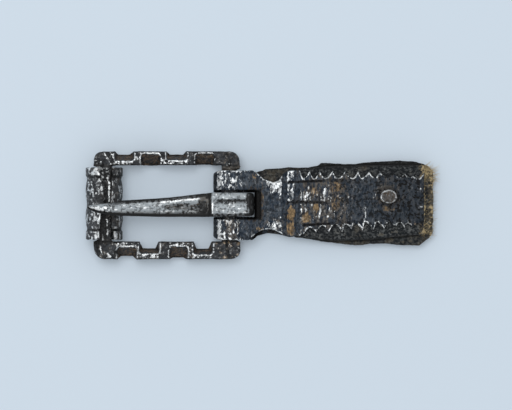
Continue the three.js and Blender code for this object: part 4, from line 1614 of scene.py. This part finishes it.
    def skin(self) -> Skin:
        """The sheet: rows along its path, in three strips whose borders are the slot's sides.

        Returns:
            The skin.
        """
        size = self.sizes
        line, normal, front = self.path()
        x = line[:, 0]
        in_front = front > 0.5
        upper = np.where(in_front, self.front_edge(x, 1), self.back_edge(x, 1))
        lower = np.where(in_front, self.front_edge(x, -1), self.back_edge(x, -1))
        length, depth = size.slot_taper
        taper = depth * np.clip((x - size.slot_length + length) / length, 0, 1)
        slot_half = np.where(in_front, size.slot_half_width - taper, size.back_slot_half_width)
        borders = [lower, size.tongue_offset - slot_half, size.tongue_offset + slot_half, upper]
        cells = (self.side_cells, self.slot_cells, self.side_cells)
        columns = [
            start[:, None] + spread(count + 1, 0.5)[None, :-1] * (end - start)[:, None]
            for start, end, count in zip(borders, borders[1:], cells)
        ]
        y = np.concatenate([*columns, upper[:, None]], axis=1)
        wide = np.broadcast_to(x[:, None], y.shape)
        slot_end = np.where(in_front, size.slot_length, size.back_slot_length)
        in_slot = x <= slot_end + 0.001
        keep = size.clear_of_rivet(wide, y)
        slot = slice(self.side_cells, self.side_cells + self.slot_cells)
        keep[:, slot] &= ~(in_slot[:-1] & in_slot[1:])[:, None]

        beside = np.maximum(np.abs(y - size.tongue_offset) - slot_half[:, None], 0)
        from_slot = np.hypot(beside, np.maximum(wide - slot_end[:, None], 0))
        from_end = np.where(in_front, size.front_leaf, size.back_leaf)[:, None] - wide
        edge = np.minimum.reduce([upper[:, None] - y, y - lower[:, None], from_slot, from_end])
        thick = size.sheet / 2 - drop_at(edge, self.edge_round)
        lip = ~in_front * smooth(size.back_slot_lip + 0.05, size.back_slot_lip - 0.05, x) * (x > 6)
        out = thick - self.grooves(wide, y) * in_front[:, None]
        surfaces = []
        for height in (out, 0.75 * lip[:, None] - thick):
            place = line[:, None] + normal[:, None] * height[..., None]
            surfaces.append(np.stack([place[..., 0], y, place[..., 1] + HINGE[2]], axis=-1))
        skin = shell(*surfaces, keep, levels=2)
        points = skin.points
        dents = 0.07 * self.grain.layers(points, 3.2) + 0.035 * self.grain.layers(points, 0.8, 2)
        skin.dent((dents - 0.02) * skin.over)
        self.dress(skin)
        return skin

    def grooves(self, x: Array, y: Array) -> Array:
        """Depth of the filed lines: two across the land and three along the panel, as V grooves."""
        across = self.cross_depth * sum(smooth(0.85, 0.2, np.abs(x - place)) for place in self.cross_grooves)
        return np.maximum(across, self.long_depth * smooth(0.45, 0.05, from_lines(x, y, self.long_grooves)))

    def from_edge(self, x: Array, y: Array) -> Array:
        """Distance from the front leaf's outline: what is left across it, divided by the slope's length.

        Args:
            x: Places along the front leaf.
            y: Places across it.

        Returns:
            The distances.
        """
        along = np.linspace(0, self.sizes.front_leaf, 700)
        nearest = np.full(len(x), FAR)
        for side in (1, -1):
            outline = self.front_edge(along, side)
            slope = np.interp(x, along, np.gradient(outline, along))
            nearest = np.minimum(nearest, side * (np.interp(x, along, outline) - y) / np.hypot(1, slope))
        return nearest

    def wear(self, points: Array) -> Array:
        """Where the front leaf is worn bright: outline, knuckles, land between the grooves and scratches; on
        the knuckles partly a painted highlight.

        Args:
            points: Vertices of the plate.

        Returns:
            How bright each is: the sum of what each worn place gives.
        """
        x, y, _ = points.T
        upper, lower = y > 0, y < 0
        edge = self.from_edge(x, y)
        noise = self.grain.layers(points, 1.5)
        fine = self.grain.layers(points, 0.6, 2)
        scratch = smooth(0.2, 0.55, self.grain.at(points * [1, 0.14, 1], 0.5))
        hatch = smooth(0.12, 0.42, self.grain.at(points * [1, 0.3, 1] + 5, 0.45))

        # The outline, broad on the teeth, and where it is lost
        teeth = smooth(19.5, 20.5, x)
        broad = 0.22 * bump_at(x, 34.5, 7.5) * lower
        line = smooth(0.50 + broad, 0.22 + broad, edge) * (0.9 + 0.7 * noise)
        lost = 1.2 * bump_at(x, 45.2, 3.6) * upper
        lost += (bump_at(x, 45.0, 1.6) + 1.3 * bump_at(x, 19.8, 2.0) + smooth(51.2, 51.9, x)) * lower
        faded = (0.7 + 0.2 * upper) * np.clip(lost, 0, 1) + 0.16 * upper * bump_at(x, 22.5, 5.0)
        worn = line * (0.78 * teeth * (1 - faded) + 0.48 * (1 - teeth))
        waist = bump_at(x, self.waist, 3.8) * smooth(3.6, 0.8, edge)
        worn += waist * (0.55 + 0.45 * upper + 0.7 * noise)

        # The land between the cross grooves, and the columns on both sides of it
        first, second = self.cross_grooves
        land = smooth(first + 0.7, first + 1.0, x) * smooth(second - 0.7, second - 1.0, x)
        worn += land * (0.5 * smooth(0.2, 1.6, y) + 0.35 * scratch - 0.05)
        worn += 0.55 * bump_at(x, first - 1.05, 0.3) * smooth(2.0, 3.5, np.abs(y)) * (0.6 + fine)
        sides = bump_at(x, first + 1.0, 0.3) + 0.8 * bump_at(x, second + 1.1, 0.3)
        worn += 0.45 * sides * smooth(-0.3, 0.3, fine) * smooth(0.6, 1.2, edge)

        # The panel's scratches and hatching, and the leaf's end
        panel = smooth(second + 0.8, second + 1.2, x) * smooth(36.0, 29.0, x) * smooth(1.0, 2.0, edge)
        base = 0.05 - 0.05 * upper + 0.05 * smooth(22.5, 20.2, x) * upper
        worn += panel * (base + 0.34 * scratch + 0.38 * hatch)
        worn += 0.45 * bump_at(x, 27.9, 0.45) * bump_at(y, 4.0, 2.9)
        worn += 0.5 * bump_at(x, 38.1, 0.3) * bump_at(y, -2.0, 2.3)
        worn += 0.55 * bump_at(x, 40.4, 1.4) * bump_at(y, 3.2, 1.8) * smooth(-0.1, 0.3, fine)
        end = bump_at(self.sizes.front_leaf - x, 0.8, 0.45)
        worn += 0.6 * end * smooth(0.0, 0.3, fine + 0.3 * noise)

        # The knuckles, with a bright stripe near the fold's end: worn metal and a painted highlight where the
        # fold turns towards the light
        knuckle = smooth(3.6, 1.8, x) * smooth(-4.0, -3.3, x) * (1 - 0.3 * bump_at(x, 1.8, 1.6))
        worn += knuckle * (0.24 + 0.14 * upper + 0.7 * noise + 0.3 * fine)
        worn += bump_at(x, -2.9, 0.9) * np.where(upper, 0.2, 0.95) + 0.1 * bump_at(x, 3.1, 0.5)
        return worn - 0.12 * bump_at(x, 8.0, 4.0) * smooth(1.5, 3.0, edge)

    def dress(self, skin: Skin) -> None:
        """Sets the marks: worn places, rust patches, a brown film on the panel, and painted shade in the
        grooves and slot, under the sheet and round the rivet's head.

        Args:
            skin: The skin to mark.
        """
        size = self.sizes
        x, y, z = skin.flat.T
        on_front = smooth(HINGE[2], HINGE[2] + 0.8, z)
        behind = 1 - on_front
        noise = self.grain.layers(skin.flat, 1.5)
        patches = np.zeros(len(x))
        for right, down, wide, high, strength in self.rust_spots:
            along = (x / self.scale - right + self.picture_axis[0]) / wide
            across = (y / self.scale + down - self.picture_axis[1]) / high
            away = np.hypot(along, across)
            patches = np.maximum(patches, strength * smooth(1.5, 0.4, away + 0.5 * noise))
        groove = smooth(0.04, 0.2, self.grooves(x, y) * on_front)
        beside = np.maximum(np.abs(y - size.tongue_offset) - size.slot_half_width, 0)
        from_slot = np.hypot(beside, np.maximum(x - size.slot_length, 0))
        by_slot = smooth(4.0, 6.0, x) * (x < 12)
        from_rivet = x - size.rivet_reach, y - size.rivet_offset
        skin.mark(Mark.WEAR, self.wear(skin.flat) * (1 - groove) * on_front + 0.1 * behind)
        skin.mark(Mark.RUST, patches * on_front * (1 - 0.5 * groove) + 0.3 * behind * smooth(0, 0.5, noise))
        skin.mark(Mark.GRIME, 0.15 * groove + 0.5 * by_slot * smooth(1.4, 0.2, from_slot) + 0.35 * behind)

        halves = self.long_grooves
        halves[:, 2:] = (halves[:, :2] + halves[:, 2:]) / 2
        # Painted shade in the grooves, round the fold's end, under the sheet, in the slot and on what shows
        # through it, and round the rivet's head.
        dark = 0.05 * groove + 0.5 * smooth(-3.2, -4.0, x) + 0.4 * ~skin.over
        dark += 0.8 * by_slot * smooth(0.3, 0.05, from_slot) + smooth(6.8, 7.0, x) * (x < 9) * (z < HINGE[2])
        # Darker towards the leaf's far end.
        dark += 0.25 * smooth(27, 31, x) + 0.2 * smooth(38, 48, x)
        dark += 0.3 * smooth(3.0, 2.6, np.hypot(from_rivet[0] * 0.86, from_rivet[1])) * on_front
        dark += 0.85 * smooth(0.42, 0.15, from_lines(x, y, halves)) * on_front
        skin.mark(Mark.SHADE, dark)

        film = 0.62 * smooth(19, 20.5, x) * smooth(36, 31, x)
        film += 0.6 * smooth(5.0, 2.4, np.hypot(*from_rivet) + 1.5 * noise)
        film += 0.45 * bump_at(x, 43.5, 3.2) * smooth(2.5, 5.0, y)
        film += 0.6 * by_slot * smooth(1.2, 0.4, from_slot)
        film += 0.5 * bump_at(x, 17.0, 1.8) * (y < -1) + 0.8 * (y < -3.5) * bump_at(x, 0.2, 3.8)
        film += 0.5 * bump_at(x, self.waist, 4.5) * smooth(-2.5, -5.0, y)
        skin.mark(Mark.WARM, film + 0.06 * smooth(0, 0.5, noise))

    def make(self, finish: Iron) -> None:
        """Builds the plate."""
        add_piece("folded_plate", "plate", ["buckle_plate"], self.skin(), finish.material())


@dataclass(frozen=True)
class Layer:
    """One layer of the strap.

    Attributes:
        name: Start of its piece's name and of its node's.
        level: How many layers lie on it.
        seed: Picks its noise.
        torn: How bare its torn end is.
        rim: How dark its edges are.
        upper_shares: Places along it and its edge's share of the half width, as lower_shares below.
    """

    name: str
    level: int
    seed: int
    torn: float
    rim: float
    upper_shares: Table
    lower_shares: Table


@dataclass
class Strap:
    """The strap's torn end: two layers of leather between the leaves, and the fibres that stand out."""

    sizes: Sizes
    start: float = 9.24
    overhang: float = 3.0
    half_width: float = 12.7
    edge_round: float = 0.45
    squeeze: float = 0.02
    stations: int = 270
    rows: int = 96
    strands: int = 900
    strand_end: float = 1.6
    stains: tuple[Pair, ...] = ((38.5, 11.0), (35.6, -7.6))
    layers: tuple[Layer, ...] = (
        Layer(
            "strap_upper", level=0, seed=61, torn=0.32, rim=0.6,
            upper_shares=(
                (-0.035, 0.74), (0, 0.78), (0.014, 0.81), (0.094, 0.82), (0.135, 0.84), (0.284, 0.84),
                (0.392, 0.87), (0.683, 0.89), (0.857, 0.9), (0.956, 0.88),
            ),
            lower_shares=(
                (-0.035, -0.42), (0, -0.44), (0.047, -0.47), (0.118, -0.57), (0.194, -0.72), (0.262, -0.75),
                (0.342, -0.78), (0.479, -0.79), (0.614, -0.77), (0.741, -0.72), (0.852, -0.68),
                (0.951, -0.66),
            ),
        ),
        Layer(
            "strap_lower", level=1, seed=67, torn=0.50, rim=0.45,
            upper_shares=(
                (-0.035, 0.7), (0, 0.73), (0.218, 0.8), (0.323, 0.89), (0.342, 0.94), (0.392, 0.94),
                (0.468, 0.92), (0.542, 0.92), (0.586, 0.95), (0.631, 0.96), (0.8, 1), (0.89, 0.97),
                (0.934, 0.93), (0.968, 0.88), (1, 0.74),
            ),
            lower_shares=(
                (-0.035, -0.4), (0, -0.42), (0.047, -0.45), (0.118, -0.55), (0.218, -0.71), (0.262, -0.75),
                (0.342, -0.81), (0.453, -0.86), (0.513, -0.89), (0.586, -0.89), (0.631, -0.86), (0.72, -0.86),
                (0.8, -0.89), (0.912, -0.9), (0.939, -0.83), (0.973, -0.74), (1, -0.62),
            ),
        ),
    )

    @property
    def length(self) -> float:
        """How far the strap reaches from its cut end to its torn one."""
        return self.sizes.front_leaf + self.overhang - self.start

    def edges(self, layer: Layer, along: Array) -> tuple[Array, Array]:
        """A layer's upper and lower edge in plan at shares of the strap's length."""
        tables = (layer.upper_shares, layer.lower_shares)
        return tuple(self.half_width * shares_at(table, along) for table in tables)

    def skin(self, layer: Layer) -> Skin:
        """A layer: a slab with rounded, uneven edges whose torn end wanders.

        Args:
            layer: The layer.

        Returns:
            The skin.
        """
        size = self.sizes
        first = layer.upper_shares[0][0]
        last = min(layer.upper_shares[-1][0], layer.lower_shares[-1][0])
        along = first + spread(self.stations, 0.35) * (last - first)
        x = self.start + along * self.length
        grain = Grain(layer.seed)
        wander = grain.layers(on_axis(x, 0), 2.2)
        jagged = grain.layers(on_axis(x, 0, 3), 0.8, 2)
        upper, lower = self.edges(layer, along)
        upper = upper + 0.16 * wander + 0.07 * jagged - 0.12
        lower = lower + 0.16 * wander[::-1] + 0.12 * jagged[::-1] + 0.14
        y = lower[:, None] + spread(self.rows, 0.6)[None] * (upper - lower)[:, None]
        tear = grain.layers(on_axis(y, 1), 1.6).reshape(y.shape)
        wide = x[:, None] + smooth(0.93, 1.0, along / last)[:, None] * (0.35 * tear - 0.3)
        from_end = np.minimum(x[-1] - x, x - x[0])[:, None]
        edge = np.minimum(np.minimum(upper[:, None] - y, y - lower[:, None]), from_end)
        thick = size.leather / 2 - self.squeeze - drop_at(edge, self.edge_round)
        middle = HINGE[2] + (0.5 - layer.level) * size.leather
        over, under = (np.stack([wide, y, middle + side * thick], axis=-1) for side in (1, -1))
        skin = shell(over, under, size.clear_of_rivet(wide, y), levels=3)
        points = skin.points
        coarse = grain.layers(points * [0.6, 1, 1], 1.6)
        free = smooth(0.0, 1.2, np.maximum(0, np.abs(points[:, 1] - 0.6) - 6.3))
        outside = np.where(skin.over, 1, 0.5)
        skin.dent((0.10 * coarse + 0.05 * grain.layers(points, 0.6, 2)) * (0.15 + 0.85 * free) * outside)
        px, py, _ = points.T
        from_top, from_foot = np.interp(px, x, upper) - py, py - np.interp(px, x, lower)
        self.dress(skin, layer, x[-1] - px, from_top, from_foot)
        return skin

    def dress(self, skin: Skin, layer: Layer, from_end: Array, from_top: Array, from_foot: Array) -> None:
        """Sets the marks: the bare torn end, grime and stains, dark edges, the upper layer's painted shadow
        on the lower one, and painted shade on the cut end and towards the upper edge.

        Args:
            skin: The skin to mark.
            layer: Its layer.
            from_end: Their distance from the torn end.
            from_top: Their distance from the upper edge.
            from_foot: Their distance from the lower edge.
        """
        x, y, _ = skin.flat.T
        upper = y > 0
        noise = Grain(layer.seed).layers(skin.flat, 1.1)
        torn = smooth(2.6, 0.3, from_end + 1.2 * noise)
        corner = np.clip(smooth(4.5, 8.0, y) + smooth(-5.5, -7.5, y), 0, 1)
        rim = smooth(0.7, 0.1, np.minimum(from_top, from_foot))
        stained = sum(smooth(2.6, 0.6, np.hypot(x - sx, y - sy) + 1.2 * noise) for sx, sy in self.stains)
        beside_rim = bump_at(from_foot, 1.1, 0.45) * smooth(-0.1, 0.3, noise)
        grime = 0.2 + 0.3 * noise + 0.9 * torn + 0.5 * stained + 0.5 * beside_rim
        step_up, step_down = self.edges(self.layers[0], (x - self.start) / self.length)
        beyond = np.maximum(y - step_up, step_down - y) + 0.15 * noise
        shadow = 0.35 * smooth(-0.3, 0.1, beyond) * upper + 0.6 * smooth(0.55, 0.15, np.abs(beyond))
        # Painted shade on the cut end, in the slot, and towards the upper edge; the upper layer's painted
        # shadow on the lower one.
        cut_end = smooth(self.start - 0.2, self.start - 0.6, x)
        shade = layer.rim * rim + layer.level * shadow + 0.16 * smooth(6, 9, y)
        skin.mark(Mark.WEAR, torn * (layer.torn + 0.5 * corner + 1.2 * noise) + 0.1 * rim)
        skin.mark(Mark.GRIME, grime + 0.4 * layer.level * (y < 0) + 0.5 * smooth(20.5, 18.5, x) * upper)
        skin.mark(Mark.SHADE, cut_end + shade * (1 - torn))

    def fibres(self) -> Skin:
        """Strands torn out of the end: thin bent three-sided horns, each from a seeded place on the edge.

        A strand's middle line is its root plus its direction times the share t, plus a curl times t squared,
        and its radius falls evenly towards its tip.

        Returns:
            The skin of all strands.
        """
        rng = np.random.default_rng(73)
        count, steps, sides = self.strands, 6, 3
        end = self.start + self.length
        top = rng.random(count) < 0.5
        share = rng.beta(0.8, 0.8, count)
        bunch = rng.random(count) < 0.3
        share = np.where(bunch, np.clip(rng.normal(0.88, 0.07, count), 0, 1), share)
        foot_y = self.half_width * np.where(top, -0.64, -0.68)
        top_y = self.half_width * np.where(top, 0.86, 0.82)
        y = foot_y + share * (top_y - foot_y)
        corner = smooth(0.84, 1.0, share) + smooth(0.16, 0.0, share)
        layer_end = np.where(top, self.start + 0.951 * self.length, end)
        x = layer_end - rng.uniform(0.3, 1.5, count) - corner * ~top
        z = HINGE[2] + np.where(top, rng.uniform(0.2, 1.5, count), rng.uniform(-1.4, -0.1, count))
        tuft = smooth(0.78, 0.92, share) + 0.6 * smooth(0.14, 0.04, share) + (rng.random(count) < 0.06)
        tuft = np.clip(tuft, 0, 1)
        reach = rng.uniform(0.5, 2.0, count) * (0.45 + 0.75 * tuft)
        swing = rng.normal(0, 0.55, count)
        lift = rng.normal(0.05, 0.35, count)
        level = np.cos(lift)
        direction = np.stack([np.cos(swing) * level, np.sin(swing) * level, np.sin(lift)], axis=1)
        t = np.linspace(0, 1, steps)
        curl = rng.normal(0, 0.45, (count, 3)) * reach[:, None]
        shares = t[None, :, None]
        line = np.stack([x, y, z], axis=1)[:, None] + (direction * reach[:, None])[:, None] * shares
        line += curl[:, None] * shares**2
        line[..., 0] = np.minimum(line[..., 0], end + self.strand_end)
        line[..., 2] = np.maximum(line[..., 2], 0.3)
        radius = rng.uniform(0.035, 0.075, count)[:, None] * (1 - 0.75 * t)[None]
        side = np.cross(direction, [0.13, 0.21, 0.97])
        side /= np.linalg.norm(side, axis=1, keepdims=True)
        third = np.cross(direction, side)
        angle = np.linspace(0, 2 * np.pi, sides, endpoint=False)[None, :, None]
        ring = np.cos(angle) * side[:, None] + np.sin(angle) * third[:, None]
        points = line[:, :, None] + radius[:, :, None, None] * ring[:, None]
        index = np.arange(count * steps * sides).reshape(count, steps, sides)
        turned = np.roll(index, -1, axis=2)
        walls = np.stack([index[:, :-1], turned[:, :-1], turned[:, 1:], index[:, 1:]], axis=-1)
        caps = [index[:, 0][:, [2, 1, 0, 0]], index[:, -1][:, [0, 1, 2, 2]]]
        skin = Skin(points.reshape(-1, 3), np.concatenate([walls.reshape(-1, 4), *caps])).face_out()
        light = rng.uniform(-0.35, 0.25, count) + 0.35 * tuft
        tone = light[:, None, None] + 0.6 * np.sqrt(t)[None, :, None]
        skin.mark(Mark.WEAR, np.broadcast_to(tone, (count, steps, sides)).ravel())
        return skin

    def make(self, finish: Leather, torn: Fibre) -> None:
        """Builds both layers and the torn fibres.

        Args:
            finish: The layers' leather.
            torn: The fibres' finish.
        """
        leather = finish.material()
        for layer in self.layers:
            name, node = f"{layer.name}_leather", f"{layer.name}_layer"
            add_piece(name, "plate", [node], self.skin(layer), leather, sharp=70)
        add_piece("strap_torn_fibres", "plate", [], self.fibres(), torn.material(), 70)


@dataclass
class Rivet:
    """The rivet: a low hand-set head, longer along the strap, a shank and a clenched tail."""

    sizes: Sizes
    grain: Grain = Grain(79)
    head_length: float = 4.9
    head_width: float = 4.0
    head_height: float = 1.2
    shank: float = 1.2
    tail_radius: float = 2.3
    tail_height: float = 0.9
    rim_share: float = 0.8
    around: int = 112

    def skin(self) -> Skin:
        """Circles carried up the profile: tail, shank and head, whose rim is uneven, bright with a painted
        highlight towards the upper left, and rusty below.

        Returns:
            The skin.
        """
        size = self.sizes
        thick = size.leather + size.sheet
        foot, top = HINGE[2] - thick, HINGE[2] + thick
        t = np.linspace(0, 1, 12)[1:]
        turn = t * np.pi / 2
        tail_r = np.concatenate([0.8 * t, 0.8 + 0.2 * np.sin(turn)]) * self.tail_radius
        tail_z = foot - self.tail_height * np.concatenate([np.ones(len(t)), np.cos(turn)])
        shank_r = self.shank * np.array([1.02, 1, 1, 1.02])
        shank_z = np.array([foot - 0.005, foot + 0.1, top - 0.1, top + 0.005])
        edge = np.linspace(0, np.pi / 2, 14)
        inwards = np.linspace(self.rim_share - 0.01, 0.02, 26)
        around_edge = self.rim_share + (1 - self.rim_share) * np.cos(edge)
        head_r = np.concatenate([around_edge, inwards]) * self.head_length / 2
        rise = np.concatenate([self.rim_share * np.sin(edge), self.rim_share + 0.10 * (1 - inwards**2)])
        head_z = top + 0.012 + self.head_height * rise
        radius = np.concatenate([tail_r, shank_r, head_r])[:, None]
        height = np.concatenate([tail_z, shank_z, head_z])[:, None]
        on_head = np.arange(len(radius)) >= len(tail_r) + len(shank_r)
        narrow = np.where(on_head, self.head_width / self.head_length, 1.0)[:, None]
        angle = np.linspace(0, 2 * np.pi, self.around, endpoint=False)[None]
        uneven = radius * (1 + 0.02 * np.cos(3 * angle + 1) + 0.015 * np.cos(5 * angle + 2))
        x = size.rivet_reach + uneven * np.cos(angle)
        y = size.rivet_offset + uneven * narrow * np.sin(angle)
        skin = tube(np.stack([x, y, np.broadcast_to(height, x.shape)], axis=-1))
        points = skin.points
        face = smooth(top + 0.3, top + 0.6, points[:, 2])
        skin.dent(face * (0.06 * self.grain.layers(points, 1.1) + 0.02 * self.grain.at(points, 0.4)))
        x, y, z = skin.flat.T
        x, y = x - size.rivet_reach, y - size.rivet_offset
        away = np.hypot(x / (self.head_length / 2), y / (self.head_width / 2))
        rim = 1.15 * bump_at(away, 0.86, 0.15) * smooth(top + 0.2, top + 0.5, z)
        # The rim's painted highlight, strongest on the upper left, towards the light.
        highlight_side = 0.65 + 0.35 * smooth(-1.2, 1.2, y - x)
        skin.mark(Mark.WEAR, rim * highlight_side + 0.25 * smooth(0.7, 0.3, away) * (z > top))
        skin.mark(Mark.GRIME, 0.5 * smooth(0.85, 0.55, away) * (z > top) + 0.3)
        skin.mark(Mark.RUST, 0.6 * smooth(-0.3, -1.4, y) * smooth(0.85, 1.0, away))
        skin.mark(Mark.SHADE, 0)
        return skin

    def make(self, finish: Iron) -> None:
        """Builds the rivet."""
        add_piece("hammered_rivet", "plate", ["rivet"], self.skin(), finish.material())


def main() -> None:
    """Builds the studio and the buckle's pieces in order."""
    logging.basicConfig(level=logging.INFO, format="%(message)s")
    sizes = Sizes()
    Studio().make()
    Frame(sizes).make(Iron(
        "frame_iron", dark=(0.006, 0.007, 0.009), tint=(0.058, 0.063, 0.070), brown=(0.115, 0.078, 0.050)
    ))
    Roller().make(Iron("roller_iron", dark=(0.010, 0.011, 0.013), tint=(0.125, 0.13, 0.138), speck_size=0.9))
    Tongue(sizes).make(Iron(
        "tongue_iron", dark=(0.25, 0.275, 0.295), tint=(0.42, 0.455, 0.475), speck_size=0.5, mottle=1.1,
        ragged=0.5, pits=0.08, streak=(2.5, 1, 1)
    ))
    Plate(sizes).make(Iron(
        "plate_iron", dark=(0.008, 0.016, 0.028), tint=(0.098, 0.114, 0.134), specks=0.15, speck_size=0.5,
        mottle=0.8, streak=(1, 2.2, 1), metal=0.6, gloss=0.25
    ))
    Rivet(sizes).make(Iron("rivet_iron", dark=(0.07, 0.068, 0.066), tint=(0.15, 0.145, 0.14), specks=0.1))
    Strap(sizes).make(Leather("strap_leather"), Fibre("torn_fibres"))


if __name__ == "__main__":
    main()
